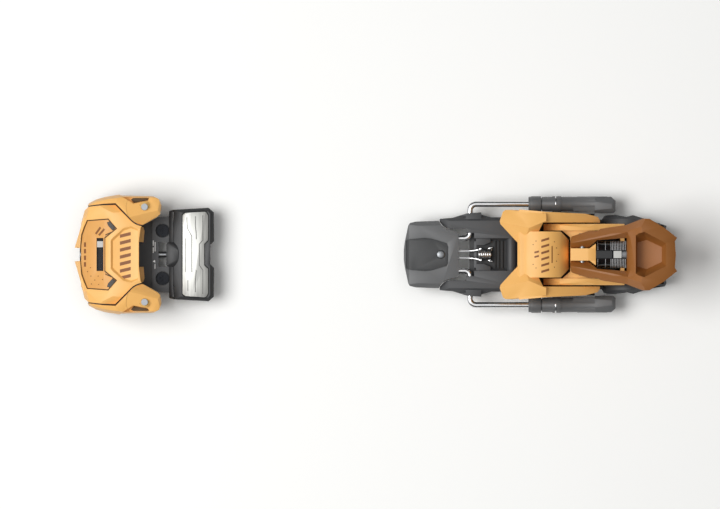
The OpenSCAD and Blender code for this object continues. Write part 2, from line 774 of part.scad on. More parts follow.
module heel_spring() color(steel) at_heel() coil_x(57.2, 67.8, 0, sleeve_z, 7, 2.2, 3);

module heel_piston() color("#9A9DA1") at_heel() rod_x(53.3, 57, 0, sleeve_z, sleeve_d / 2 - 2.3);

module heel_release_screw() color("#8F9296") at_heel() difference() {
    union() {
        rod_x(68.2, sleeve_x1, 0, sleeve_z, sleeve_d / 2 - 2.3);
        rod_x(sleeve_x1 - 1, 77, 0, sleeve_z, 5.8);
    }
    for (a = [0, 90]) translate([0, 0, sleeve_z]) rotate([a, 0, 0])
        block(75, 78, -3.6, 3.6, -0.8, 0.8);
}

module heel_indicator() color("#DADCDD") at_heel()
    block(63.5, 69.5, -2.7, 2.7, sleeve_z + sleeve_d / 2 - 1.6, sleeve_z + sleeve_d / 2 - 0.4);

module lever_axle() color(steel) at_heel()
    rod_y(-16, 16, lever_axle_x, lever_axle_z, 2.5);

// ---- Heel piece: the opening lever ----

lever_outline = both([
    [31.6, 5], [31.6, 11.5], [32.6, 13.9], [44.7, 18.1], [61.5, 20.4], [72.9, 22.4], [78, 24.2],
    [85, 27.2], [90.3, 27.2], [101, 21.1], [110.9, 12.8], [109.3, 10.1], [110.1, 0.01]
]);
lever_top = [[31, 55.5], [45, 59.5], [62, 65], [74, 69.5], [88, 77], [98, 75], [111, 68]];
lever_bottom = [[31, 43.6], [46, 44.4], [62, 53.4], [73, 58.8], [76, 60], [96, 60], [112, 61.5]];
cup_outline = both([[77, 17], [85, 20.5], [100.8, 12], [102.5, 9]]);
cup_floor_z = 65;

module heel_lever() color(lever_brown) at_heel() {
    body = concat(lever_top, [for (i = [len(lever_bottom) - 1 : -1 : 0]) lever_bottom[i]]);
    flank = across([[18, 40], [28, 60], [28, 66], [19, 80]]);
    difference() {
        intersection() {
            plan(lever_outline, 40, 80);
            side(body, -30, 30);
            front(flank, 20, 120);
        }
        // The opening over the scale, the cup for a pole's tip, and the fork round the bridge
        plan(both([[50.4, 10.8], [73.2, 12.6]]), 40, 90);
        block(30, 51, -4.9, 4.9, 40, 90);
        plan(both([[43.5, 4.8], [51, 10.8]]), 40, 90);
        plan(cup_outline, cup_floor_z, 90);
        rod_y(-18, 18, lever_axle_x, lever_axle_z, 2.5 + fit);
    }
}

// ---- Each node by its name ----

toe_base();
toe_ski_screws();
toe_tilt_axle();
afd_carrier();
afd_wedge();
afd_screw();
afd_frame();
afd_steel_plate();
afd_return_springs();
toe_chassis();
toe_housing();
toe_top_panel();
toe_scale_lens();
toe_scale_strip();
toe_indicator();
toe_cowl(-1);  // toe_cowl_left
toe_cowl(1);  // toe_cowl_right
toe_spring();
toe_spring_nut();
toe_release_screw();
toe_crosshead();
wing_pin(-1);  // wing_pin_left
wing_pin(1);  // wing_pin_right
wing_bush(-1);  // wing_bush_left
wing_bush(1);  // wing_bush_right
toe_wing(-1);  // toe_wing_left
toe_wing(1);  // toe_wing_right
heel_track();
heel_ski_screws();
brake_base();
heel_base();
jaw_axle();
forward_pressure_spring();
length_screw();
brake_pedal();
brake_pedal_pad();
brake_pedal_rivet();
brake_wire(-1);  // brake_wire_left
brake_wire(1);  // brake_wire_right
brake_foot(-1);  // brake_foot_left
brake_foot(1);  // brake_foot_right
brake_spring();
heel_jaw();
heel_treadle();
heel_housing();
heel_spring_sleeve();
heel_spring();
heel_piston();
heel_release_screw();
heel_indicator();
lever_axle();
heel_lever();
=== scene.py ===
"""Ski binding: a toe piece and a heel piece that stand on the ski, with the boot left out.

Each visible shell is modelled in millimetres as cut and bevelled plate work, then brought to
metres. The frame gives where everything is, and what moves with what.
"""
import math

import bpy
from mathutils import Matrix, Vector


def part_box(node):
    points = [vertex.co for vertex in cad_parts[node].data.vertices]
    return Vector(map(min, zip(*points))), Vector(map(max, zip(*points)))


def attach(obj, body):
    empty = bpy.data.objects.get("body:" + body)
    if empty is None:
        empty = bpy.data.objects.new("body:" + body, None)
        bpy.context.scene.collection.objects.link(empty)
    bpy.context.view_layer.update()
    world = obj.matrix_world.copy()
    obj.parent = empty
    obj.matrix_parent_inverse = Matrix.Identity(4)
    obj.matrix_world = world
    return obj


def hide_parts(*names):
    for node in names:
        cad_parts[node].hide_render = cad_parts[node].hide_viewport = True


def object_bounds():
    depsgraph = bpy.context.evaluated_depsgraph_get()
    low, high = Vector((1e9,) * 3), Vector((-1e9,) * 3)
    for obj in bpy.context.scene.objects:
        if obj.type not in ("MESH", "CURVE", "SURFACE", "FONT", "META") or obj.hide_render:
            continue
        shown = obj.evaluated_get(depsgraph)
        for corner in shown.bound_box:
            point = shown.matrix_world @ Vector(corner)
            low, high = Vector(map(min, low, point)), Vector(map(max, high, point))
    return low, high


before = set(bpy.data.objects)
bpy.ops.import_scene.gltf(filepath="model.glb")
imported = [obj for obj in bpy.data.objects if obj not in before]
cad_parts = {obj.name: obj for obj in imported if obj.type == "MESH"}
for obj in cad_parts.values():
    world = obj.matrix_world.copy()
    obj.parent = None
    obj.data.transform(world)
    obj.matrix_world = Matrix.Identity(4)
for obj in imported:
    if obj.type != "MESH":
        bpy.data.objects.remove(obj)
CAD_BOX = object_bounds()

MM = 0.001
# The jaw's lips reach this far over the boot, in metres. The back of the boot's heel, in
# millimetres, is where the heel piece is drawn from.
LIP_REACH = 0.0226
HEEL = (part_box("heel_jaw")[0][0] + LIP_REACH) / MM
# The pin of the +Y wing, and the two radii of the round joint between its cowl and the wing
PIN = (8.1, 36.1)
SEAM_R = 13.95
WING_R = 13.8
# The bores for the jaw's and the lever's axle: middle and radius
JAW_AXLE = (46, 0, 24, 4.05)
LEVER_AXLE = (40, 0, 50, 2.55)
# The brake: the hole for the pedal's rivet, the middle of the +Y wire in its shoe, and the
# front edges of the ribs across the spring's channel
RIVET_HOLE = (-67, 0, 16, 1.8, 20, "z")
WIRE = (38.5, 10)
RIBS = (-26, -23.2, -20.4, -17.6)
# Edges that turn less than this many degrees are shaded smooth
SMOOTH = 32


# ---- Workbench ----

def clear():
    """Select nothing, so that a new primitive or operator acts alone."""
    if bpy.context.object and bpy.context.object.mode != "OBJECT":
        leave()
    bpy.ops.object.select_all(action="DESELECT")


def only(*pieces):
    clear()
    for piece in pieces:
        piece.select_set(True)
    bpy.context.view_layer.objects.active = pieces[0]


def edit(piece):
    """Go into edit mode on one piece, with all of its mesh selected."""
    only(piece)
    bpy.ops.object.mode_set(mode="EDIT")
    bpy.ops.mesh.select_all(action="SELECT")


def leave():
    bpy.ops.object.mode_set(mode="OBJECT")


def mirrored(half):
    """A half outline on the +Y side, closed with its mirror image."""
    return list(half) + [(x, -y) for x, y in reversed(half)]


def arc(x, y, r, start, end, steps):
    """Points on a circle from one angle to another, in degrees."""
    turns = [math.radians(start + (end - start) * i / steps) for i in range(steps + 1)]
    return [(x + r * math.cos(t), y + r * math.sin(t)) for t in turns]


def ribbon(path, width):
    """The outline of a stripe that follows a path."""
    left, right = [], []
    for i, point in enumerate(path):
        before = Vector(path[max(i - 1, 0)])
        after = Vector(path[min(i + 1, len(path) - 1)])
        here = Vector(point)
        a = (here - before).normalized() if i else (after - here).normalized()
        b = (after - here).normalized() if i < len(path) - 1 else a
        along = (a + b).normalized()
        side = Vector((-along.y, along.x)) * width / 2 / max(0.3, along.dot(a))
        left.append(tuple(here + side))
        right.append(tuple(here - side))
    return left + right[::-1]


def block(name, outline, low, high, axis="z"):
    """A plate cut to an outline and pulled out to its thickness along one axis."""
    clear()
    bpy.ops.mesh.primitive_circle_add(vertices=len(outline), radius=1, fill_type="NGON")
    piece = bpy.context.object
    piece.name = name
    for corner, (u, v) in zip(piece.data.vertices, outline):
        corner.co = {"z": (u, v, low), "y": (u, low, v), "x": (low, u, v)}[axis]
    pull = {"z": (0, 0, 1), "y": (0, 1, 0), "x": (1, 0, 0)}[axis]
    edit(piece)
    bpy.ops.mesh.extrude_region_move(
        TRANSFORM_OT_translate={"value": [(high - low) * p for p in pull]})
    bpy.ops.mesh.select_all(action="SELECT")
    bpy.ops.mesh.normals_make_consistent(inside=False)
    leave()
    return piece


def slab(name, half, low, high):
    """A level plate, the same on both sides of the ski."""
    return block(name, mirrored(half), low, high)


def tube(name, x, y, z, radius, length, axis="x", sides=48):
    """A round bar centred on a point."""
    turn = {"x": (0, math.pi / 2, 0), "y": (math.pi / 2, 0, 0), "z": (0, 0, 0)}[axis]
    clear()
    bpy.ops.mesh.primitive_cylinder_add(
        vertices=sides, radius=radius, depth=length, location=(x, y, z), rotation=turn)
    piece = bpy.context.object
    piece.name = name
    bpy.ops.object.transform_apply(location=True, rotation=True, scale=True)
    return piece


def trim(piece, *planes, keep=None):
    """Cut a piece flat along planes through three points, away from the point to keep."""
    if keep is None:
        corners = [Vector(c) for c in piece.bound_box]
        keep = sum(corners, Vector()) / 8
        keep.z = min(c.z for c in corners)
    edit(piece)
    for p, q, r in planes:
        p, q, r = Vector(p), Vector(q), Vector(r)
        out = (q - p).cross(r - p).normalized()
        if out.dot(Vector(keep) - p) > 0:
            out.negate()
        bpy.ops.mesh.select_all(action="SELECT")
        bpy.ops.mesh.bisect(plane_co=p, plane_no=out, use_fill=True, clear_outer=True,
                            threshold=1e-4)
    bpy.ops.mesh.select_all(action="SELECT")
    bpy.ops.mesh.remove_doubles(threshold=0.01)
    bpy.ops.mesh.normals_make_consistent(inside=False)
    leave()
    return piece


def roof(line):
    """Planes across the ski, one for each stretch of a roof line."""
    return [((x0, 0, z0), (x1, 0, z1), (x0, 10, z0))
            for (x0, z0), (x1, z1) in zip(line, line[1:])]


def gable(line):
    """Planes along the ski, one for each stretch of a front profile, on both sides."""
    return [((0, s * y0, z0), (0, s * y1, z1), (10, s * y0, z0))
            for (y0, z0), (y1, z1) in zip(line, line[1:]) for s in (1, -1)]


def sides(planes):
    """Planes on the +Y side, and the same on the other."""
    return planes + [tuple((x, -y, z) for x, y, z in plane) for plane in planes]


def combine(piece, others, operation):
    """Apply boolean steps one after the other, and use up the pieces they were made with."""
    for other in others:
        only(piece)
        step = piece.modifiers.new("combine", "BOOLEAN")
        step.operation = operation
        step.solver = "EXACT"
        step.object = other
        bpy.ops.object.modifier_apply(modifier=step.name)
        bpy.data.objects.remove(other)
    return piece


def carve(piece, *cutters):
    return combine(piece, cutters, "DIFFERENCE")


def weld(piece, *others):
    return combine(piece, others, "UNION")


def common(piece, *others):
    return combine(piece, others, "INTERSECT")


def twin(piece, name, other_side=False):
    """A copy with its own mesh, on the same or the other side of the ski."""
    copy = piece.copy()
    copy.data = piece.data.copy()
    copy.name = name
    bpy.context.collection.objects.link(copy)
    if other_side:
        copy.data.transform(Matrix.Scale(-1, 4, (0, 1, 0)))
        edit(copy)
        bpy.ops.mesh.flip_normals()
        leave()
    return copy


def smooth(piece, angle=SMOOTH):
    only(piece)
    bpy.ops.object.shade_smooth_by_angle(angle=math.radians(angle))
    return piece


def both(piece):
    """A piece and its twin on the other side."""
    return piece, twin(piece, piece.name, True)


def soften(piece, width, segments=2, angle=28):
    """Round the edges as a mould does, and shade the faces between them flat."""
    edit(piece)
    bpy.ops.mesh.remove_doubles(threshold=0.02)
    bpy.ops.mesh.dissolve_limited(angle_limit=math.radians(0.5))
    leave()
    only(piece)
    step = piece.modifiers.new("rounding", "BEVEL")
    step.width = width
    step.segments = segments
    step.limit_method = "ANGLE"
    step.angle_limit = math.radians(angle)
    step.miter_outer = "MITER_ARC"
    step.use_clamp_overlap = True
    bpy.ops.object.modifier_apply(modifier=step.name)
    return smooth(piece)


def join(piece, *others):
    """Make one object of several that need not be welded."""
    only(piece, *others)
    bpy.ops.object.join()
    return piece


def paint(piece, material):
    piece.data.materials.clear()
    piece.data.materials.append(material)


def install(piece, name, body, slot, material, *stands_for):
    """Bring a finished piece to metres, and say what it is and what it moves with."""
    piece.name = name
    piece.data.name = name
    piece.data.transform(Matrix.Scale(MM, 4))
    paint(piece, material)
    for face in piece.data.polygons:
        face.material_index = 0
    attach(piece, body)
    if stands_for:
        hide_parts(*stands_for)
    return piece


def install_pair(fit, pair, *words):
    """The same for a piece and its twin: each {} in the words becomes the side's name."""
    for side, piece in zip(("right", "left"), pair):
        fit(piece, *[word.format(side) if isinstance(word, str) else word for word in words])


# ---- Materials ----

def linear(code):
    """An sRGB hex colour as linear RGBA."""
    parts = [int(code[i:i + 2], 16) / 255 for i in (1, 3, 5)]
    return [p / 12.92 if p <= 0.04045 else ((p + 0.055) / 1.055) ** 2.4 for p in parts] + [1]


def add(tree, kind, settings, links=()):
    """Add a node with its settings, and link its inputs."""
    made = tree.nodes.new(kind)
    for key, value in settings.items():
        if isinstance(key, int) or key in made.inputs:
            made.inputs[key].default_value = value
        else:
            setattr(made, key, value)
    for socket, source in links:
        tree.links.new(source, made.inputs[socket])
    return made


def per_metre(size_mm):
    """The noise scale whose features are this many millimetres across."""
    return 1 / (size_mm * MM)


# The size of the patches in which a moulding's tone drifts, in millimetres
DRIFT = 14


def start(name):
    """A new material, with its node tree, its shader and its Object coordinates."""
    material = bpy.data.materials.new(name)
    material.use_nodes = True
    tree = material.node_tree
    shader = tree.nodes["Principled BSDF"]
    place = add(tree, "ShaderNodeTexCoord", {}).outputs["Object"]
    return material, tree, shader, place


def surface(tree, shader, tint, grain, tones, gloss, strength, depth):
    """Colour from one pattern between two tones; roughness and relief from another."""
    tone = add(tree, "ShaderNodeMix", {"data_type": "RGBA"}, [("Factor", tint)])
    tone.inputs[6].default_value, tone.inputs[7].default_value = [linear(t) for t in tones]
    spread = add(tree, "ShaderNodeMapRange", {"To Min": gloss[0], "To Max": gloss[1]},
                 [("Value", grain)])
    relief = add(tree, "ShaderNodeBump", {"Strength": strength, "Distance": depth * MM},
                 [("Height", grain)])
    tree.links.new(tone.outputs[2], shader.inputs["Base Color"])
    tree.links.new(spread.outputs[0], shader.inputs["Roughness"])
    tree.links.new(relief.outputs[0], shader.inputs["Normal"])


def moulded(name, colour, light, rough, grain=0.5, depth=0.02):
    """Injection-moulded polyamide: an even colour with a spark-eroded grain that breaks its
    gloss, and a slow drift in tone from the flow of the melt. Grain and depth are in
    millimetres."""
    material, tree, shader, place = start(name)
    drift = add(tree, "ShaderNodeTexNoise", {"Scale": per_metre(DRIFT), "Detail": 3.0},
                [("Vector", place)])
    speck = add(tree, "ShaderNodeTexNoise", {"Scale": per_metre(grain), "Detail": 2.0},
                [("Vector", place)])
    surface(tree, shader, drift.outputs["Fac"], speck.outputs["Fac"], (colour, light),
            (rough - 0.07, rough + 0.09), 0.35, depth)
    shader.inputs["IOR"].default_value = 1.53
    return material


def metal(name, colour, dark, rough, streak, depth=0.004):
    """Bare or plated metal: brushing or rolling marks as streaks of a size along X, Y and Z in
    millimetres, which tint it and spread its highlights along the grain."""
    material, tree, shader, place = start(name)
    grain = add(tree, "ShaderNodeMapping", {"Scale": [per_metre(s) for s in streak]},
                [("Vector", place)])
    marks = add(tree, "ShaderNodeTexNoise", {"Scale": 1.0, "Detail": 4.0},
                [("Vector", grain.outputs[0])]).outputs["Fac"]
    surface(tree, shader, marks, marks, (dark, colour), (rough * 0.7, rough * 1.3), 0.3, depth)
    shader.inputs["Metallic"].default_value = 1.0
    return material


# Coloured polyamide, moulded: warm even colour, with its highlights broken up by the grain
yellow = moulded("yellow_polyamide", "#EDB160", "#F2BB6C", 0.5, grain=0.45, depth=0.015)
# The panel's coarser texture takes the light less evenly, so it looks a shade darker
panel_yellow = moulded("yellow_panel_polyamide", "#D79A50", "#DFA55C", 0.55, grain=0.6,
                       depth=0.04)
brown = moulded("brown_polyamide", "#8C5520", "#996028", 0.55, grain=0.5)
grey = moulded("grey_polyamide", "#5B5C5D", "#646566", 0.48, grain=0.5, depth=0.03)
# Glass fibre brings a cloudy charcoal and a rougher skin
black = moulded("black_glass_filled_polyamide", "#37383A", "#3F4042", 0.5, grain=0.5, depth=0.03)
# Pressed rubber: soft, nearly without highlights
dark = moulded("dark_rubber", "#3C3D3E", "#434445", 0.6, grain=0.7, depth=0.04)
# Pad-printed ink: thin and flat, with no shine of its own
print_brown = moulded("brown_pad_print", "#7E4A20", "#865325", 0.6, grain=0.4)
# The same black also paints the shade on the floor of the brake's spring channel
black_print_and_shade = moulded("black_scale_print_and_channel_shade", "#08090A", "#0D0E10", 0.65, grain=0.6)
# Light grey for the sleeve's printed scale, and for painted highlights on the front of the sleeve
scale_print_and_highlights = moulded("grey_scale_print_and_rim_highlights", "#B8BABC", "#C4C6C8", 0.4)
# Polished polycarbonate: black, with sharp reflections
gloss_black = moulded("black_gloss_polycarbonate", "#0E0F11", "#141517", 0.12, grain=2,
                      depth=0.002)
# Dull olive brown: painted shade, in the joint round the panel and at the bottom of the wings'
# side pockets
painted_shade = moulded("painted_shade_olive", "#4A3A20", "#534226", 0.7)
# Acetal: bright and waxy white
white = moulded("white_acetal", "#F0F0EE", "#F8F8F6", 0.35)
# Powder coat: black with a fine orange-peel skin
coated = moulded("black_powder_coat", "#1D1E20", "#232426", 0.5, grain=0.8, depth=0.03)
# Stainless sheet, brushed across the ski: long streaks that stretch its highlights
plate_steel = metal("brushed_stainless_plate", "#BEBEBA", "#8E8E8A", 0.42, (0.7, 30, 30))
# Painted shade in the grooves of the plate: the same steel, dark and dull
groove_shade_steel = metal("painted_groove_shade", "#6E6E6C", "#4C4C4A", 0.5, (0.7, 0.7, 0.7))
# Bright zinc: bluish grey, a little cloudy
zinc = metal("bright_zinc_plated_steel", "#8E9092", "#6E7174", 0.42, (0.8, 0.8, 0.8))
# Drawn spring wire, polished: near white, with faint marks along the wire
chrome = metal("polished_spring_wire", "#E2E2E3", "#C4C5C6", 0.22, (6, 0.6, 0.6))
# Black zinc: nearly black, with a dull metal edge; on the jaw's axle, painted shade in its gaps
black_zinc_and_gap_shade = metal("black_zinc_screws_and_axle_shade", "#26272A", "#18191B", 0.4, (0.7, 0.7, 0.7))
# Pressed bronze powder: brown gold with open pores
bronze = metal("sintered_bronze", "#B08D55", "#97743F", 0.5, (0.4, 0.4, 0.4), 0.02)


def smoked_lens():
    """Clear polycarbonate with a grey tint, polished by its mould."""
    material, tree, shader, place = start("smoked_polycarbonate")
    haze = add(tree, "ShaderNodeTexNoise", {"Scale": per_metre(3)}, [("Vector", place)])
    spread = add(tree, "ShaderNodeMapRange", {"To Min": 0.04, "To Max": 0.09},
                 [("Value", haze.outputs["Fac"])])
    tree.links.new(spread.outputs[0], shader.inputs["Roughness"])
    shader.inputs["Base Color"].default_value = linear("#3A3C40")
    shader.inputs["IOR"].default_value = 1.58
    shader.inputs["Alpha"].default_value = 0.14
    return material


lens = smoked_lens()


# ---- Toe piece ----

ROOF = [(-46, 24), (-41, 31.5), (-36, 36.5), (-23, 43.5), (-16, 46), (6, 44.6)]
PANEL = [(-40.4, 6), (-39.4, 14.7), (-37.5, 20), (-35.3, 25.3), (-19.7, 26.4), (-13.6, 19.6),
         (-22.3, 13.1)]


def lowered(drop, depth=0):
    """The planes of the toe's roof, moved down."""
    return [tuple((x, y, z - drop - depth) for x, y, z in plane) for plane in roof(ROOF)]


def below_roof(drop, depth=0, bottom=10):
    """Everything under the lowered roof, to leave only the skin of a piece."""
    piece = slab("under", [(-50, 40), (0, 40)], bottom, 60)
    return trim(piece, *lowered(drop, depth), keep=(-28, 0, bottom + 2))


def over_roof(name, half, drop):
    """Everything above the lowered roof, within an outline."""
    line = [(x, z - drop) for x, z in ROOF]
    piece = block(name, line + [(6, 70), (-46, 70)], -45, 45, "y")
    return common(piece, slab("within", half, 0, 80))


def roof_inlay(name, outline, drop, depth):
    """A thin piece that lies in the roof, its top a little under the roof line."""
    piece = block(name, outline, 20, 60)
    trim(piece, *lowered(drop), keep=(-28, 0, 21))
    return carve(piece, below_roof(drop, depth))


def make_toe_shell():
    seam = [(-14.2, 37.6)] + arc(*PIN, SEAM_R + 0.85, 225, 262, 6)
    outline = [(-40.6, 4), (-40.6, 24), (-39.4, 27.6), (-37.9, 33.5), (-35.6, 35.5),
               (-35.0, 36.2), (-23.1, 37.4)] + seam + [(5.2, 20.6), (3.8, 10)]
    shell = slab("shell", outline, 15.3, 50)
    side = [((0, 30.5, 46.8), (0, 38.8, 40.8), (-10, 30.5, 46.8))]
    edge = [((-41.2, 14.5, 29), (-36.4, 36.8, 29), (-38.0, 19, 36.4))]
    trim(shell, *roof(ROOF), *sides(side), *sides(edge), keep=(-15, 0, 16))
    fang = block("fang", [(-36, 4.4), (-45.9, 5.2), (-42.9, 14.7), (-39.4, 27.6), (-36, 27.6)],
                 12, 32)
    trim(fang, ((-46, 5, 18), (-41, 5, 31), (-42.6, 16, 26)),
         ((-46, 5, 14), (-44.9, 5.5, 26), (-43.2, 15, 14)), keep=(-38, 12, 13))
    weld(shell, *both(fang))
    # Inside: the release mechanism, the boot's toe and the arms of the wings
    hollow = slab("hollow", [(-38.2, 23), (-37, 27), (-35.6, 33), (-23.1, 35.2), (-14.8, 35.4),
                             (-4, 24.6), (7, 24.6)], 0, 50)
    trim(hollow, *lowered(5), *gable([(36, 35), (24, 42.5)]))
    boot = block("boot", [(-4, -40), (10, -40), (10, 40), (-4, 40)], 0, 36.8)
    arms = [block("arms", [(-20, s * 20), (-20, s * 38.6), (10, s * 38.6), (10, s * 10)], 0, 32)
            for s in (1, -1)]
    screw = tube("screw", -43, 0, 25, 5.6, 14)
    # The panel's seat, and the sunken field behind it
    seat = over_roof("seat", [(-41.2, 5.4), (-40.3, 15.3), (-38.3, 20.7), (-35.8, 26.2),
                              (-19.3, 27.4), (-12.5, 19.6), (-21.6, 12.3)], 2.4)
    window = slab("window", [(-29, 13), (-22.4, 13)], 30, 60)
    field = block("field", [(-19.4, 48.5), (-15.9, 42.9), (5.0, 43.6), (5.0, 70), (-19.4, 70)],
                  -30, 30, "y")
    common(field, slab("within", [(-19.0, 10.6), (-8.2, 20.8), (-2.2, 22.6), (3.2, 20.4),
                                  (3.2, 0)], 30, 80))
    walls = [((-19.0, 10.6, 47), (-8.2, 20.8, 47), (-16.2, 10.0, 43.2)),
             ((-8.2, 20.8, 46.5), (-2.2, 22.6, 46.5), (-6.6, 18.4, 43.2)),
             ((-2.2, 22.6, 46.2), (3.2, 20.4, 46), (-1.6, 19.6, 43.4))]
    trim(field, *sides(walls), keep=(-8, 0, 65))
    carve(shell, hollow, boot, *arms, screw, seat, window, field)
    foot = block("foot", [(-6, 9.4), (6.6, 9.4), (7.3, 18), (6.2, 21), (-6, 21)], 13.4, 17)
    weld(shell, *both(foot))
    return soften(shell, 0.45)


def make_panel():
    panel = roof_inlay("panel", mirrored(PANEL), 1.3, 1.0)
    window = slab("window", [(-28.4, 12.5), (-23.1, 12.5)], 20, 60)
    clip = block("clip", [(-20.4, 24.4), (-18.4, 25.1), (-13.7, 19.8), (-15.9, 17.9),
                          (-19.6, 22.0)], 20, 60)
    slit = block("slit", [(-22.0, 14.3), (-21.4, 15.4), (-15.9, 17.7), (-15.7, 17.0)], 20, 60)
    carve(panel, window, *both(clip), *both(slit))
    return soften(panel, 0.35)


def make_hooks():
    """Dark snap hooks of the panel, seen in its two rear corners."""
    hook = roof_inlay("hook", [(-20.0, 24.0), (-18.5, 24.8), (-14.1, 19.9), (-15.9, 18.4),
                               (-19.4, 22.2)], 1.6, 0.7)
    for i in range(3):
        x, y = -19.0 + i * 1.5, 23.2 - i * 1.6
        carve(hook, block("notch", [(x, y), (x + 0.45, y + 0.4), (x + 1.5, y - 0.8),
                                    (x + 1.05, y - 1.2)], 20, 60))
    gapfill = roof_inlay("gap", [(-22.1, 14.2), (-21.5, 15.6), (-15.8, 17.9), (-15.6, 16.9)],
                         2.0, 0.3)
    return join(*both(hook), *both(gapfill))


SIDE = [(-35.2, 37), (-34.9, 39), (-29.2, 42), (-22.3, 43.9), (-11.7, 45.6), (-10.2, 44.9),
        (14.1, 44.4), (18.7, 42), (20.3, 37.5), (19.8, 30.6), (17.9, 28.7), (6.5, 22.3)]


def side_shell():
    """The outer shell of the +Y side, before the round seam parts the cowl from the wing."""
    inner = [(-5.9, 30.9), (-13.9, 38.95), (-23.1, 38.5)]
    seam = arc(*PIN, WING_R, 263, 225, 6)
    shell = block("side", SIDE + seam + inner, 15.3, 50)
    top = [((-14.3, 38.4, 45.6), (-10.8, 44.1, 42.6), (14, 30, 46.0)),
           ((-14.3, 38.4, 45.6), (-10.8, 44.1, 42.6), (-35.2, 37, 36.0)),
           ((-0.9, 26.4, 46.6), (17.5, 34.7, 45.0), (8, 24.0, 41.0)),
           ((17.2, 30, 46), (17.2, 44, 44), (20.4, 36, 40))]
    walls = [((-34.9, 39, 20), (-29.2, 42, 20), (-31.0, 38.6, 40)),
             ((-29.2, 42, 20), (-22.3, 43.9, 20), (-24.4, 40.6, 42)),
             ((-22.3, 43.9, 22), (-11.7, 45.6, 22), (-16.2, 42.2, 43.5)),
             ((-10, 44.9, 26), (14, 44.4, 26), (2, 43.2, 44))]
    trim(shell, *top, *walls, keep=(0, 36, 16.3))
    pocket = block("pocket", [(-8.6, 43.7), (-0.3, 38.6), (10.6, 40.8), (11.6, 43.0)], 20, 60)
    trim(pocket, ((-8.6, 44, 39), (-0.3, 38.6, 36), (12, 44, 35)), keep=(2, 43, 58))
    carve(shell, pocket)
    return soften(shell, 0.45)


def make_cowl(shell):
    """The front part of a side shell, fixed to the toe head."""
    carve(shell, tube("round", *PIN, 30, SEAM_R, 60, "z", 96),
          block("rear", [(8, 0), (8, 60), (40, 60), (40, 0)], 0, 60),
          block("arm", [(-13.4, 27), (-12.4, 31.2), (-11, 32.5), (0, 39.6), (0, 27)], 17, 23.5))
    return smooth(shell)


def make_wing(shell):
    """The rear part, which turns on its pin, with the arm that reaches in to the crosshead."""
    ring = tube("ring", *PIN, 30, WING_R, 60, "z", 96)
    weld(ring, block("rear", [(8.1, 22), (8.1, 50), (40, 50), (40, 22)], 0, 60))
    common(shell, ring)
    boot = block("boot", [(-10, 10), (-4, 21.5), (5, 28.5), (12, 30.2), (22, 33.5), (22, 10)],
                 0, 36.8)
    carve(shell, boot)
    arm = block("arm", [(5, 32), (-9.5, 25), (-12.5, 28), (-11, 31.5), (4, 41)], 17.5, 23)
    weld(shell, arm)
    carve(shell, block("floor", [(-50, 0), (-50, 60), (50, 60), (50, 0)], 0, 15.6),
          tube("bush", *PIN, 22, 4.05, 44, "z", 64),
          tube("hole", *PIN, 50, 2.75, 20, "z", 64))
    return smooth(shell)


def field_marks():
    """Plain slanted bars printed across the sunken field, a hair proud of it."""
    bars = []
    for i in range(7):
        y = -17.6 + i * 5.3
        bar = block("bar", [(-10.6, y - 1.6), (-10.6, y + 0.9), (-2.4, y + 2.9), (-2.4, y + 0.4)],
                    42, 60)
        trim(bar, ((-15.9, 0, 43.04), (-15.9, 5, 43.04), (5, 0, 43.74)), keep=(-8, y, 42.1))
        bars.append(bar)
    return join(*bars)


def on_panel(mark):
    """Cut a mark down to a skin just proud of the panel."""
    place = mark.data.vertices[0].co
    trim(mark, *lowered(1.18), keep=(place.x, place.y, 21))
    return carve(mark, below_roof(1.5, bottom=5))


def panel_marks():
    """Printed dots and plain bars on the panel."""
    marks = []
    for x, y in ((-35.4, -13), (-32.8, -16.4), (-27.2, -16.4), (-29.8, -19.4), (-23.8, -19),
                 (-32.4, -22.4), (-26.8, -22.8), (-33.2, -10)):
        marks.append(on_panel(tube("dot", x, y, 40, 0.42, 60, "z", 12)))
    for x0, y0, x1, y1 in ((-29.0, 15.6, -25.4, 20.6), (-26.6, 14.6, -22.4, 19.4)):
        marks.append(on_panel(block("bar", ribbon([(x0, y0), (x1, y1)], 1.5), 20, 60)))
    for y in (-7.5, -2.5, 2.5, 7.5):
        marks.append(on_panel(block("bar", ribbon([(-37.4, y - 1.7), (-37.4, y + 1.7)], 1.6),
                                    20, 60)))
    return join(*marks)


def make_seam_shelf():
    """The dark shelf inside the toe head, seen through the joint at each side shell."""
    path = [(-35.0, 36.6), (-23.1, 38.0), (-14.0, 38.4)] + arc(*PIN, SEAM_R + 0.4, 225, 245, 3)
    low = block("shelf", ribbon(path, 2.0), 25, 60)
    trim(low, *lowered(4.2), ((0, 30.5, 42.6), (0, 38.8, 37.0), (-10, 30.5, 42.6)),
         keep=(-20, 37, 25.5))
    return join(*both(low))


def make_panel_shade_rim():
    """A dark rim in the joint round the panel: painted shade along its edges."""
    shade_rim = roof_inlay("shade_rim", mirrored([(-40.9, 5.6), (-40.1, 15.3), (-38.1, 20.6),
                                      (-35.7, 26.0), (-19.4, 27.2), (-12.7, 19.6),
                                      (-21.7, 12.5)]), 1.9, 0.35)
    return carve(shade_rim, slab("window", [(-29, 13), (-22.4, 13)], 10, 60))


def make_lens():
    """The clear cover of the panel's window."""
    return roof_inlay("lens", mirrored([(-28.3, 12.4), (-23.2, 12.4)]), 1.4, 0.9)


def make_pocket_shade():
    """A dark piece at the bottom of a wing's side pocket: painted shade in the pocket."""
    return soften(block("pocket_shade", [(-3.6, 43.0), (-0.1, 39.2), (10.2, 41.2), (11.0, 42.6)],
                        33, 37.2), 0.15)


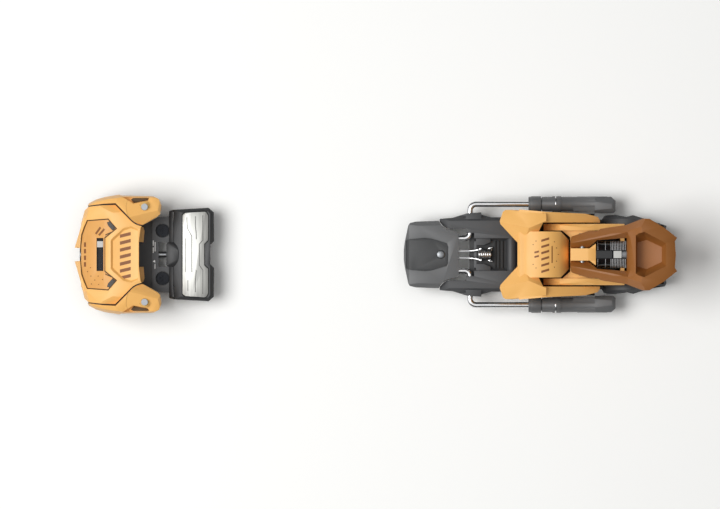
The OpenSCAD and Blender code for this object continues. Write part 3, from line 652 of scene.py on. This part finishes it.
TOE_PIECES = [
    # The rim round the panel is painted shade
    (make_panel_shade_rim, "toe_panel_shade_rim", "toe_head", "black_plastic", painted_shade),
    (make_seam_shelf, "toe_seam_shelf", "toe_head", "black_plastic", black),
    (field_marks, "toe_field_print", "toe_head", "brown_plastic", print_brown),
    (panel_marks, "toe_panel_print", "toe_head", "brown_plastic", print_brown),
    (make_toe_shell, "toe_shell", "toe_head", "yellow_plastic", yellow, "toe_housing"),
    (make_panel, "toe_panel", "toe_head", "panel_plastic", panel_yellow, "toe_top_panel"),
    (make_hooks, "toe_panel_hooks", "toe_head", "black_plastic", black),
    (make_lens, "toe_scale_cover", "toe_head", "lens", lens, "toe_scale_lens"),
]
for make, *words in TOE_PIECES:
    install(make(), *words)
side = side_shell()
install_pair(install, both(make_cowl(twin(side, "cowl"))), "toe_cowl_shell_{}", "toe_head",
             "yellow_plastic", yellow, "toe_cowl_{}")
wings = both(make_wing(side))
# Painted shade at the bottom of each wing's side pocket
install_pair(install, both(make_pocket_shade()), "toe_wing_insert_{}", "wing_{}", "brown_plastic",
             painted_shade)
install_pair(install, wings, "toe_wing_shell_{}", "wing_{}", "yellow_plastic", yellow,
             "toe_wing_{}")


def make_deck_marks():
    """Plain white bars and a pointer printed on the rear deck of the base."""
    marks = [block("bar", [(x, y0), (x + 0.5, y0), (x + 0.5, y1), (x, y1)], 9.4, 9.56)
             for x, y0, y1 in ((13.6, 1.2, 5.4), (13.6, 6.6, 10.8), (15.0, 2.4, 9.6),
                               (14.9, -10.8, -7.2))]
    marks.append(block("pointer", [(13.4, -5.2), (15.2, -4.2), (15.2, -6.2)], 9.4, 9.56))
    return join(*marks)


def make_sole_frame():
    """The moulded frame of the sole plate, with the boss over the slot of the deck."""
    outline = [(25.1, 30.4), (26.2, 33.2), (30.7, 34.4), (55.9, 35.8), (60.1, 32.1),
               (60.3, 10.1), (57.6, 7.5)]
    rim = slab("rim", outline, 12.0, 16.6)
    skirt = slab("skirt", [(29.4, 30.2), (29.4, 33.2), (30.9, 34.0), (55.7, 35.4),
                           (59.7, 31.9), (59.9, 10.2), (57.4, 7.6)], 5.5, 12.6)
    weld(rim, skirt)
    side = [((28, 31.5, 16.6), (56, 32.9, 16.6), (40, 35, 13.2)),
            ((28, 34, 13), (56, 35.6, 13), (40, 35.3, 5.5))]
    corner = [((55.5, 33.2, 16.6), (57.8, 31.2, 16.6), (59.5, 34, 13))]
    trim(rim, ((25.1, 0, 11.6), (25.1, 10, 11.6), (35.5, 0, 16.5)),
         ((57.6, 0, 16.6), (57.6, 10, 16.6), (60.4, 0, 13.4)), *sides(side), *sides(corner))
    boss = slab("boss", [(23.9, 7.5), (24.9, 9.2), (29.5, 9.4), (32.0, 6.5), (33.0, 3)],
                12.0, 16.6)
    trim(boss, ((23.8, 0, 14.4), (23.8, 5, 14.4), (33, 0, 16.5)),
         *gable([(3.0, 16.7), (9.4, 14.2)]))
    weld(rim, boss)
    inside = slab("inside", [(29, 32.3), (57.3, 32.3)], 0, 13.6)
    notch = slab("notch", [(26, 10), (30, 10)], 0, 12)
    hatch = slab("hatch", [(57, 5), (62, 5)], 0, 13.6)
    pocket = slab("pocket", [(35.8, 30.2), (38.2, 32.3), (53.2, 33.1), (54.9, 32.6),
                             (56.4, 29.7), (56.4, 10.7), (53.3, 7.8)], 14.8, 30)
    rear = slab("rear", [(57.4, 7.2), (60, 10), (63, 10)], 0, 30)
    carve(rim, inside, notch, hatch, pocket, rear)
    return soften(rim, 0.5)


def make_sole_steel():
    sheet = slab("sheet", [(36.2, 30), (38.5, 31.8), (53, 32.6), (54.4, 32.2),
                           (55.9, 29.5), (55.9, 11), (52.9, 8.2)], 14.8, 17)
    trim(sheet, ((36, 0, 15.9), (36, 10, 15.9), (42.8, 0, 17)))
    return soften(sheet, 0.2, angle=20)


def make_grooves():
    """The grooves of the steel plate, as thin dark lines a hair over its face: painted shade in
    the grooves.
    """
    lines = []
    for path in ([(39.6, 28.3), (40.0, 20.0), (43.4, 13.9), (43.4, -13.5)],
                 [(38.5, 12.4), (38.5, -13.5)],
                 [(40.4, -19.5), (40.4, -27.9)],
                 [(46.1, 29.1), (46.1, 22.3), (46.8, 15.4), (46.8, 11.6)],
                 [(46.8, -11.9), (46.1, -21.1), (46.1, -28.7)],
                 [(51.8, 29.9), (51.8, 10.9), (49.1, 7.8), (49.1, -8.1), (51.8, -11.9),
                  (51.8, -30.2)]):
        line = block("line", ribbon(path, 0.62), 15.2, 17.03)
        trim(line, ((36, 0, 15.93), (36, 10, 15.93), (42.8, 0, 17.03)), keep=(46, 0, 15.3))
        lines.append(line)
    return join(*lines)


SOLE_PIECES = [
    (make_deck_marks, "toe_deck_print", "ski_base", "white_marker", white),
    (make_sole_frame, "sole_plate_frame", "afd_sled", "black_plastic", coated, "afd_frame"),
    # Painted shade in the steel plate's grooves
    (make_grooves, "sole_plate_grooves", "afd_sled", "chassis_metal", groove_shade_steel),
    (make_sole_steel, "sole_plate_steel", "afd_sled", "bright_steel", plate_steel,
     "afd_steel_plate"),
]
for make, *words in SOLE_PIECES:
    install(make(), *words)


# ---- Heel piece, drawn from the back of the boot's heel ----

def fit_heel(piece, *words):
    """Put a piece of the heel in its place on the ski, and install it."""
    piece.data.transform(Matrix.Translation((HEEL, 0, 0)))
    return install(piece, *words)


def make_pedal():
    outline = [(-95.1, 4), (-94.3, 10), (-91.7, 22.2), (-90.5, 24), (-86, 25.1), (-68.5, 25.7),
               (-67, 23), (-65.1, 20.7), (-62.4, 18.8), (-56.3, 17.7), (-54, 16.6), (-53.3, 15)]
    plate = block("pedal", [(-96, 9.5), (-93, 9.5), (-89, 12.5), (-53, 12.5), (-53, 16.2),
                            (-84, 17.2), (-91.2, 16.4), (-96, 12.4)], -30, 30, "y")
    common(plate, slab("plan", outline, 5, 20))
    side = [((-92, 21.9, 17.2), (-60, 21.9, 17.0), (-80, 25.6, 13.8))]
    trim(plate, *sides(side), keep=(-75, 0, 14))
    clip = block("clip", [(-78, 7.4), (-62, 7.4), (-60, 13), (-80, 13)], 8.4, 16.4, "y")
    weld(plate, *both(clip))
    bores = [tube("bore", -66, s * 12.4, 10, 2.3, 30) for s in (1, -1)]
    seat = block("seat", [(-93.6, 13.2), (-91.4, 15.3), (-60, 15.3), (-60, 30), (-93.6, 30)],
                 -20, 20, "y")
    common(seat, slab("plan", [(-93.6, 10.9), (-91.6, 11.7), (-79, 12.8),
                               (-74.4, 12.4), (-62.3, 8.9), (-61.2, 6)], 5, 40))
    carve(plate, *bores, seat, tube("rivet", *RIVET_HOLE))
    return soften(plate, 0.6)


def make_inlay():
    pad = block("pad", [(-93.1, 13.4), (-91.2, 15.35), (-61, 15.35), (-61, 15.9), (-84, 16.8),
                        (-91.0, 16.0), (-93.1, 14.3)], -20, 20, "y")
    common(pad, slab("plan", [(-93.1, 10.6), (-91.5, 11.3), (-79, 12.4),
                              (-74.5, 12), (-62.6, 8.6), (-61.6, 6)], 5, 20))
    trim(pad, *gable([(9.5, 16.9), (13, 15.8)]), keep=(-75, 0, 15.4))
    carve(pad, tube("rivet", *RIVET_HOLE))
    return soften(pad, 0.25)


def make_stud():
    clear()
    bpy.ops.mesh.primitive_uv_sphere_add(segments=40, ring_count=16, radius=3.3,
                                         location=(-67, 0, 16.4))
    head = bpy.context.object
    bpy.ops.object.transform_apply(location=True, rotation=True, scale=True)
    edit(head)
    bpy.ops.transform.resize(value=(1, 1, 0.3), center_override=(-67, 0, 16.4))
    leave()
    carve(head, block("under", [(-80, -9), (-50, -9), (-50, 9), (-80, 9)], 5, 16.4))
    weld(head, tube("shank", -67, 0, 14, 1.7, 5, "z"))
    return smooth(head, 40)


def make_brake_housing():
    outline = [(-67.7, 26.6), (-67.5, 27.2), (-57.9, 28), (-46.8, 31.4), (-36.2, 32.1),
               (-35.8, 30.3), (-28.2, 28.4), (-2.2, 28.2)]
    base = slab("base", outline, 5.3, 15)
    side = [((-60, 25.8, 15), (-4, 25.8, 15), (-30, 29.5, 10.5))]
    trim(base, ((-68, 0, 11), (-68, 5, 11), (-61, 0, 15)), *sides(side),
         ((-4.5, 0, 15), (-4.5, 5, 15), (-2, 0, 12.5)))
    grip = block("grip", outline[1:] + [(-2.2, 24.3), (-67.7, 24.3)], 0.5, 11)
    ear = block("ear", [(-49, 25), (-46.8, 31.4), (-36.2, 32.1), (-35.8, 25)], 3, 13.6)
    weld(base, *both(grip), *both(ear))
    opening = slab("opening", [(-72, 26.6), (-67.2, 24.4), (-65, 21.8), (-62, 20),
                               (-56, 19.8), (-47.6, 19.8), (-47.6, 16.5),
                               (-41.5, 16.5), (-41.5, 12.4)], -1, 30)
    channel = slab("channel", [(-42, 12.4), (1, 12.4)], 7.3, 30)
    trim(channel, *gable([(12.4, 12), (14.4, 16)]), keep=(-20, 0, 28))
    shafts = [tube("shaft", -44.6, s * 25, 10, 2.3, 30, "y") for s in (1, -1)]
    carve(base, opening, channel, *shafts)
    # Ribs across the channel and the housing of the spring's ends
    for x in RIBS:
        weld(base, slab("rib", [(x, 12.5), (x + 1.2, 12.5)], 7.2, 8.6))
    hub = tube("hub", -13, 0, 8.2, 4.2, 24.9, "y")
    trim(hub, ((-20, 0, 7.2), (-20, 5, 7.2), (0, 0, 7.2)), keep=(-13, 0, 10))
    weld(base, hub)
    for s in (1, -1):
        weld(base, block("stop", [(-40, s * 7.2), (-40, s * 12.5), (-29, s * 12.5),
                                  (-29, s * 9.4), (-34, s * 7.2)], 7.2, 11.5))
    return soften(base, 0.5)


def make_shoe():
    """A brake shoe: a ribbed sleeve on the wire and a square-shouldered shoe behind it."""
    sleeve = tube("sleeve", 26, *WIRE, 5.5, 52)
    collar = tube("collar", 5.3, *WIRE, 6.0, 9.2)
    edit(collar)
    bpy.ops.mesh.select_all(action="DESELECT")
    leave()
    for face in collar.data.polygons:
        face.select = face.normal.x < -0.9
    bpy.ops.object.mode_set(mode="EDIT")
    bpy.ops.mesh.bevel(offset=2.2, segments=4, affect="EDGES")
    leave()
    band = tube("band", 21.5, *WIRE, 6.0, 6.5)
    weld(sleeve, collar, band)
    carve(sleeve, tube("mark", 9.9, *WIRE, 9, 0.9))
    weld(sleeve, tube("core", 9.9, *WIRE, 4.6, 3))
    flange = block("flange", [(36, 41.5), (37.2, 44.2), (60, 44.2), (60, 41.5)], 6.2, 10.4)
    cheek = block("cheek", [(34, 33.2), (34, 43.6), (51, 43.8), (51, 33)], 5.2, 14.8)
    trim(cheek, ((34, 38, 15.4), (34, 42, 14.6), (51, 38, 15.6)),
         ((34, 43.4, 8), (51, 43.9, 8), (40, 41.8, 15)), keep=(44, 38, 9))
    shoe = block("shoe", [(50.5, 31.9), (50.5, 43.6), (53, 44), (63, 44), (66.3, 41),
                          (66.3, 33.2), (64.8, 31.6), (55, 31.4)], 4.4, 15.8)
    trim(shoe, ((50, 40, 16), (66, 40, 14.4), (50, 44.4, 12.5)),
         ((63.5, 38, 16), (63.5, 42, 16), (66.6, 38, 11)),
         ((50, 34, 16), (66, 34, 14.6), (50, 31.4, 13.5)), keep=(58, 38, 8))
    weld(sleeve, flange, cheek, shoe)
    carve(sleeve, tube("wire", 25, *WIRE, 2.3, 51))
    return soften(sleeve, 0.45)


def make_jaw():
    jaw = block("lip", [(-22.1, 23), (-22.6, 25.5), (-20.2, 32.5), (-18.3, 33.7), (-13.8, 34),
                        (0.7, 32.9), (12.3, 32.3), (12.3, 24.25), (10.3, 24.25), (8.2, 19.5),
                        (7.0, 17.6), (4, 12), (-4, 4), (-9.8, 9.7)], 47, 66)
    trim(jaw, ((-22.3, 24.5, 55.0), (-0.7, 20.0, 62.0), (6, 32.6, 56.6)),
         ((-22.3, 24.5, 55.0), (-0.7, 20.0, 62.0), (-8.6, 10.4, 50.8)),
         ((-0.7, 20.0, 62.0), (8.6, 23.4, 61.2), (-7.0, 11.3, 55.4)),
         ((-22.6, 24, 53.8), (-20.2, 32.5, 51.8), (-19.0, 28, 56.6)),
         ((-20, 33.6, 51.8), (12, 32.2, 54.6), (0, 31.4, 57.4)), keep=(-4, 28, 47.5))
    barrel = block("barrel", [(-9.2, 47), (-9.2, 54.6), (-7.6, 56.4)]
                   + arc(8, 38, 22, 124, -5, 30) + [(8, 36), (1, 47)], -17.4, 17.4, "y")
    corner = [((23.5, 17.4, 0), (29.9, 11, 0), (23.5, 17.4, 10))]
    trim(barrel, *sides(corner), keep=(5, 0, 50))
    wall = slab("wall", [(0.9, 31), (6, 32.6), (7, 24)], 14, 50)
    carve(wall, block("seat", [(-1, 0), (1.0, 0), (1.0, 60), (-1, 60)], 10, 60))
    arm = block("arm", [(-8, 47), (-8, 54), (9, 57.8), (13, 56.6), (36, 43.4), (50, 31.6),
                        (54, 27.2), (54, 21), (50, 17.6), (42, 17.6), (30, 21), (8, 31),
                        (1, 33), (1, 47)], 24.3, 35, "y")
    common(arm, block("side", [(-9, 24.3), (-9, 34.2), (12.1, 32.3), (42.5, 31), (52.3, 28.6),
                               (53.9, 26), (53.9, 24.3)], 10, 70))
    weld(jaw, twin(jaw, "lip", True), barrel, wall, twin(arm, "arm", True), arm)
    carve(jaw, tube("axle", *JAW_AXLE, 90, "y"))
    for s in (1, -1):
        carve(jaw, block("recess", [(6.9, s * 17.75), (10.0, s * 24.2), (60, s * 24.2),
                                    (60, s * 17.75)], 0, 70))
    return soften(jaw, 0.7, 3)


def make_spring_housing():
    cheek = [(11, 36), (11, 31), (32, 27), (39, 18.5), (43, 17), (49, 17), (53, 19),
             (72, 34), (72, 44.2), (50, 44.2), (45, 46.5), (23, 46.5)]
    shell = block("cheek", cheek, 18.2, 23.2, "y")
    trim(shell, ((26, 23.2, 45.2), (72, 23.2, 42.6), (48, 20.5, 46.8)), keep=(50, 20, 30))
    weld(shell, twin(shell, "cheek", True))
    web = slab("web", [(31.0, 12.9), (24.6, 18.5), (49.5, 20)], 36, 42.4)
    bridge = block("bridge", [(31, 40), (31, 56.4), (44, 57.4), (50, 54.6), (50, 40)],
                   -4.6, 4.6, "y")
    flare = slab("flare", [(45.2, 4.6), (50, 8.2)], 41, 58)
    trim(flare, ((43.6, 0, 57.4), (50, 0, 54.6), (43.6, 5, 57.4)), keep=(47, 0, 45))
    flank = [((43.6, 4.4, 57.3), (50, 4.4, 54.5), (50, 9.8, 52.2))]
    trim(flare, *sides(flank), keep=(47, 0, 45))
    rear = slab("rear", [(69, 20), (72, 20)], 34, 44.4)
    weld(shell, web, bridge, flare, rear)
    carve(shell, tube("axle", *JAW_AXLE, 90, "y"), tube("pin", *LEVER_AXLE, 20, "y"),
          tube("sleeve", 69, 0, 42, 10.6, 38.6), tube("rod", 40, 0, 40, 3, 30))
    return soften(shell, 0.5)


def make_lever():
    outline = [(31.2, 5), (30.9, 8.2), (31.6, 13.2), (32.6, 13.9), (44.5, 17.7), (51.5, 17.8),
               (53.5, 19.4), (60.7, 20.6), (72.9, 22.4), (78, 24.4), (85, 27.1), (89.8, 27.0),
               (101, 20.3), (110.9, 12.6), (109.2, 9.9), (110.0, 0)]
    body = block("arms", [(30.5, 56.5), (45, 60.2), (62, 65), (77, 71), (77, 60), (76, 60),
                          (73, 58.8), (62, 53.4), (46, 44.4), (31, 43.6)], -30, 30, "y")
    outer = [((31.4, 9, 56.6), (73.5, 17.1, 69.2), (60.7, 20.6, 60.4))]
    trim(body, *sides(outer), keep=(60, 0, 50))
    head = block("head", [(73.6, 68.5), (79.6, 74.5), (84, 78.4), (89, 78.6), (98, 76),
                          (111, 70), (112, 61.5), (96, 60), (76, 60), (73.6, 59)], -30, 30, "y")
    facets = [((75.8, 18.8, 70.5), (84.1, 22.1, 77.6), (75.2, 23, 64.9)),
              ((84, 18, 78.6), (102.5, 8.2, 75.0), (90, 27, 74.8))]
    trim(head, *sides(facets), keep=(90, 0, 62))
    weld(body, head)
    common(body, slab("plan", outline, 40, 90))
    # The opening over the scale, with a bevel round it, and the fork in front of it
    opening = slab("opening", [(50.4, 10.8), (73.2, 12.6)], 40, 95)
    bevel = slab("bevel", [(29, 4.6), (31.0, 9.0), (49.6, 12.9), (73.5, 17.1), (76.6, 9)],
                 40, 95)
    slopes = [((31.4, 9.0, 57.0), (73.5, 17.1, 69.4), (50.7, 10.1, 58.6))]
    trim(bevel, *sides(slopes), ((73.2, 0, 65), (73.2, 5, 65), (76.4, 0, 71.5)),
         keep=(52, 0, 94))
    fork = slab("fork", [(29, 4.9), (43.5, 4.9), (51, 10.8)], 40, 95)
    # The cup for the tip of a pole: a flat floor and sloped walls
    cup = slab("cup", [(79.4, 15.3), (85.8, 17.1), (103, 8.4)], 62.4, 95)
    walls = [((79.4, 15.3, 76.5), (85.8, 17.1, 76.5), (83, 9.6, 62.4)),
             ((85.8, 17.1, 76.5), (103, 8.4, 74.5), (92, 9.2, 62.4))]
    trim(cup, *sides(walls), ((79.4, 0, 75.5), (79.4, 5, 75.5), (81.2, 0, 62.4)),
         ((102.8, 0, 75), (102.8, 5, 75), (99.6, 0, 62.4)), keep=(88, 0, 94))
    carve(body, bevel, opening, fork, cup, tube("axle", *LEVER_AXLE, 60, "y"))
    return soften(body, 0.55, 3)


def make_carriage_floor():
    outline = [(-1.9, 28.2), (20, 27.6), (56, 26.5), (57.6, 29.2), (60, 30), (66, 30.3),
               (74.4, 28.6), (79.7, 30), (105.2, 21.9), (104, 15)]
    base = slab("base", outline, 5.3, 10)
    rail = block("rail", [(-1.9, 24.4), (-1.9, 28.2), (20, 27.6), (57, 26.4), (57, 24.4)], 9, 14)
    trim(rail, ((-2, 26.2, 14), (50, 25.2, 12), (20, 28, 10.6)), keep=(20, 25, 9.5))
    shoulder = block("shoulder", [(57.6, 9), (57.6, 13.5), (61, 16.4), (80, 16.4), (103, 12.4),
                                  (103, 9)], 22.5, 40, "y")
    common(shoulder, block("side", [(56, 22.5)] + outline[2:9] + [(103, 22.5)], 5, 30))
    trim(shoulder, ((58, 27.4, 16.4), (80, 26.8, 16.4), (70, 30.4, 12)),
         ((80, 26.8, 16.4), (104, 20.6, 12.4), (92, 27.4, 11)), keep=(75, 24, 10))
    ridge = slab("ridge", [(88, 7), (106, 7)], 9, 13)
    trim(ridge, ((88, 0, 10), (88, 5, 10), (94, 0, 13)), keep=(100, 0, 9.5))
    grip = block("grip", outline[:9] + [(104, 24.3), (-1.9, 24.3)], 0.5, 8)
    lug = block("lug", [(37, 9), (37, 20), (41, 28), (51, 28), (55, 20), (55, 9)], -11, 11, "y")
    weld(base, *both(rail), *both(shoulder), ridge, *both(grip), lug)
    carve(base, slab("slot", [(61, 3.7), (94, 3.7)], 0, 30),
          tube("screw", 98, 0, 9.6, 3.0, 20), tube("axle", *JAW_AXLE, 30, "y"))
    return soften(base, 0.5)


def make_spur():
    """The ribbed tongue under the boot's heel, which the heel presses down to close the jaw."""
    spur = block("spur", [(-9, 12.4), (-7, 16.6), (0.8, 16.6), (0.8, 10.6), (-7, 10.6)],
                 -11.8, 11.8, "y")
    for y in (-8, -4, 0, 4, 8):
        carve(spur, block("rib", [(-10, y - 0.7), (-10, y + 0.7), (-1, y + 0.7), (-1, y - 0.7)],
                          15.8, 20))
    return soften(spur, 0.3)


def barrel_marks():
    """Plain printed bars and dots that follow the barrel, a hair proud of it."""
    marks = []
    for i in range(6):
        y = -12.4 + i * 4.7
        marks.append(block("bar", [(8.6, y - 1.6), (8.6, y + 0.1), (14.6, y + 1.9),
                                   (14.6, y + 0.2)], 40, 70))
    for y in (-2.6, 0.8):
        marks.append(block("bar", [(3.4, y), (3.4, y + 1.4), (6.8, y + 2.2), (6.8, y + 0.8)],
                           40, 70))
    marks.append(slab("line", [(16.4, 6.4), (17.2, 6.4)], 40, 70))
    for x, y in ((2.4, 7.5), (2.4, -7.5), (4.6, 10.2), (4.6, -10.2), (18.6, 9.6), (18.6, -9.6),
                 (20.2, 5), (20.2, -5), (21.6, 0)):
        marks.append(tube("dot", x, y, 55, 0.4, 30, "z", 12))
    marks = join(*marks)
    common(marks, tube("skin", 8, 0, 38, 22.13, 34, "y", 120))
    return carve(marks, tube("core", 8, 0, 38, 21.6, 40, "y", 120))


def coil(x0, x1, z, radius, wire, turns):
    """A wound spring along the ski, its ends closed."""
    clear()
    bpy.ops.mesh.primitive_circle_add(vertices=10, radius=wire / 2, location=(0, 0, 0))
    spring = bpy.context.object
    spring.name = "coil"
    edit(spring)
    bpy.ops.transform.translate(value=(0, radius, 0))
    leave()
    step = spring.modifiers.new("winding", "SCREW")
    step.axis = "X"
    step.angle = math.tau
    step.iterations = turns
    step.screw_offset = (x1 - x0) / turns
    step.steps = step.render_steps = 24
    step.use_smooth_shade = True
    bpy.ops.object.modifier_apply(modifier=step.name)
    edit(spring)
    bpy.ops.mesh.fill_holes(sides=0)
    bpy.ops.mesh.normals_make_consistent(inside=False)
    leave()
    spring.data.transform(Matrix.Translation((x0, 0, z)))
    return spring


def bend(name, path, thick):
    """A round wire through a few points, with swept corners."""
    clear()
    bpy.ops.curve.primitive_bezier_curve_add()
    wire = bpy.context.object
    wire.name = name
    curve = wire.data
    curve.splines.clear()
    line = curve.splines.new("NURBS")
    line.points.add(len(path) - 1)
    for point, place in zip(line.points, path):
        point.co = (*place, 1)
    line.order_u = 3
    line.use_endpoint_u = True
    curve.bevel_depth = thick / 2
    curve.bevel_resolution = 4
    curve.use_fill_caps = True
    bpy.ops.object.convert(target="MESH")
    wire = bpy.context.object
    edit(wire)
    bpy.ops.mesh.remove_doubles(threshold=0.001)
    bpy.ops.mesh.normals_make_consistent(inside=False)
    leave()
    return smooth(wire, 50)


def make_brake_spring():
    parts = [coil(-38, -28.4, 11.4, 3.6, 1.3, 6)]
    for s in (1, -1):
        parts.append(bend("leg", [(-58, s * 2.6, 9.2), (-48, s * 2.6, 9.4), (-42, s * 2.9, 10.0),
                                  (-38.6, s * 3.4, 11.2), (-36, s * 4.6, 11.6)], 2.1))
        parts.append(bend("end", [(-31, s * 3.9, 10.0), (-30, s * 5.2, 10.8),
                                  (-27.6, s * 5.2, 10.6)], 1.3))
    return join(*parts)


def make_channel_shade():
    """A near-black sheet on the floor of the spring channel, with raised rims: painted shade in
    the channel.
    """
    channel_shade = slab("channel_shade", [(-39.5, 12.2), (-0.5, 12.2)], 7.35, 7.8)
    for x in RIBS:
        weld(channel_shade, slab("rib", [(x, 11.8), (x + 1.2, 11.8)], 7.5, 8.8))
    return soften(channel_shade, 0.12)


def make_shoe_clip():
    """An open ring that holds the shoe on its wire."""
    ring = tube("ring", 20.6, *WIRE, 6.35, 0.9)
    carve(ring, tube("hole", 20.6, *WIRE, 5.6, 3),
          block("gap", [(15, 30), (15, 38.5), (26, 36.5), (26, 30)], -5, 30))
    return soften(ring, 0.2)


def hoop(x, width, radius):
    """A line round the spring sleeve."""
    ring = tube("hoop", x, 0, 42, radius, width, "x", 72)
    return carve(ring, tube("bore", x, 0, 42, 10.1, width + 2, "x", 72))


def make_sleeve_scale_and_highlights():
    """The scale under the lever's window: light lines round the black sleeve, and two painted
    highlights.
    """
    # The first two rings are painted highlights on the front of the sleeve; the ten after them
    # are its printed scale
    rings = join(hoop(51.6, 0.35, 10.42), hoop(57.4, 0.3, 10.42),
                 *[hoop(61.6 + i * 1.2, 0.36, 10.38) for i in range(10)])
    return carve(rings, block("slot", [(50, -3.3), (50, 3.3), (80, 3.3), (80, -3.3)], 45, 60))


HEEL_PIECES = [
    (barrel_marks, "heel_barrel_print", "heel_jaw", "brown_plastic", print_brown),
    (make_brake_spring, "brake_torsion_spring", "heel_carriage", "chrome_wire", chrome,
     "brake_spring"),
    # The sheet in the spring channel is painted shade
    (make_channel_shade, "brake_channel_shade", "heel_carriage", "black_plastic", black_print_and_shade),
    # Printed scale and painted highlights on the spring sleeve
    (make_sleeve_scale_and_highlights, "heel_sleeve_scale_and_highlights", "heel_jaw", "grey_plastic", scale_print_and_highlights),
    (make_pedal, "brake_pedal_plate", "brake", "grey_plastic", grey, "brake_pedal"),
    (make_inlay, "brake_pedal_inlay", "brake", "dark_plastic", dark, "brake_pedal_pad"),
    (make_stud, "brake_pedal_stud", "brake", "bright_steel", zinc, "brake_pedal_rivet"),
    (make_brake_housing, "brake_housing", "heel_carriage", "black_plastic", black, "brake_base"),
    (make_jaw, "heel_jaw_shell", "heel_jaw", "yellow_plastic", yellow, "heel_jaw"),
    (make_spring_housing, "heel_housing_shell", "heel_jaw", "yellow_plastic", yellow,
     "heel_housing"),
    (make_lever, "opening_lever", "heel_lever", "brown_plastic", brown, "heel_lever"),
    (make_carriage_floor, "heel_carriage_floor", "heel_carriage", "black_plastic", black,
     "heel_base"),
    (make_spur, "heel_spur", "heel_jaw", "black_plastic", black, "heel_treadle"),
]
for make, *words in HEEL_PIECES:
    fit_heel(make(), *words)
install_pair(fit_heel, both(make_shoe_clip()), "brake_shoe_clip_{}", "brake", "chrome_wire",
             chrome)
install_pair(fit_heel, both(make_shoe()), "brake_shoe_{}", "brake", "grey_plastic", grey,
             "brake_foot_{}")


# ---- Finishes of the carried-over CAD nodes ----

FINISHES = {
    black: ["toe_base", "afd_carrier"],
    coated: ["toe_chassis", "heel_track"],
    grey: ["afd_wedge"],
    # The jaw's axle is painted nearly black: painted shade where it shows between the jaw's arms
    # and the housing's cheeks
    black_zinc_and_gap_shade: ["toe_ski_screws", "jaw_axle"],
    zinc: ["toe_tilt_axle", "afd_screw", "toe_spring", "toe_spring_nut", "toe_release_screw",
           "toe_crosshead", "wing_pin_left", "wing_pin_right", "heel_ski_screws",
           "length_screw", "heel_spring", "heel_piston", "heel_release_screw", "lever_axle",
           "afd_return_springs", "forward_pressure_spring"],
    chrome: ["brake_wire_left", "brake_wire_right"],
    bronze: ["wing_bush_left", "wing_bush_right"],
    gloss_black: ["heel_spring_sleeve"],
    black_print_and_shade: ["toe_scale_strip"],
    white: ["toe_indicator"],
    plate_steel: ["heel_indicator"],
}
for material, nodes in FINISHES.items():
    for node in nodes:
        paint(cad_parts[node], material)


# ---- Floor, light and camera ----

MIDDLE = (0.1715, 0.0, 0.02)
FLOOR_GAP = 0.0002
FLOOR_SIZE = 40
VIEW_WIDTH = 0.5472
VIEW_HEIGHT = 0.03  # the height at which the view is as wide as that
SENSOR = 36
LENS = 400  # long, so the sides of the object hardly show from above

clear()
bpy.ops.mesh.primitive_plane_add(size=FLOOR_SIZE, location=(0.17, 0, CAD_BOX[0][2] - FLOOR_GAP))
floor = bpy.context.object
floor.name = "floor"
# Matt card: white, with a tooth that is only just there
paper, tree, shader, place = start("pale_card")
weave = add(tree, "ShaderNodeTexNoise", {"Scale": per_metre(1.5)}, [("Vector", place)])
relief = add(tree, "ShaderNodeBump", {"Strength": 0.05, "Distance": 0.0001},
             [("Height", weave.outputs["Fac"])])
tree.links.new(relief.outputs[0], shader.inputs["Normal"])
shader.inputs["Base Color"].default_value = linear("#FAFAF8")
shader.inputs["Roughness"].default_value = 0.9
floor.data.materials.append(paper)


def lamp(name, place, size, watts):
    """A round soft light that faces the middle of the object."""
    data = bpy.data.lights.new(name, "AREA")
    data.shape = "DISK"
    data.size = size
    data.energy = watts
    light = bpy.data.objects.new(name, data)
    light.location = place
    aim = Vector(MIDDLE) - Vector(place)
    light.rotation_euler = aim.to_track_quat("-Z", "Y").to_euler()
    bpy.context.collection.objects.link(light)


lamp("window", (-0.95, 0.03, 2.1), 1.5, 46)
lamp("ceiling", (0.17, 0.0, 2.6), 3.2, 26)

world = bpy.data.worlds.new("studio")
bpy.context.scene.world = world
world.use_nodes = True
background = world.node_tree.nodes["Background"]
background.inputs["Color"].default_value = (1, 1, 1, 1)
background.inputs["Strength"].default_value = 0.10
bpy.context.scene.view_settings.view_transform = "Standard"

camera_data = bpy.data.cameras.new("camera")
camera_data.lens = LENS
camera_data.sensor_width = SENSOR
camera_data.clip_end = 30
camera = bpy.data.objects.new("camera", camera_data)
camera.location = (MIDDLE[0], 0.0, VIEW_HEIGHT + LENS * VIEW_WIDTH / SENSOR)
bpy.context.collection.objects.link(camera)
bpy.context.scene.camera = camera
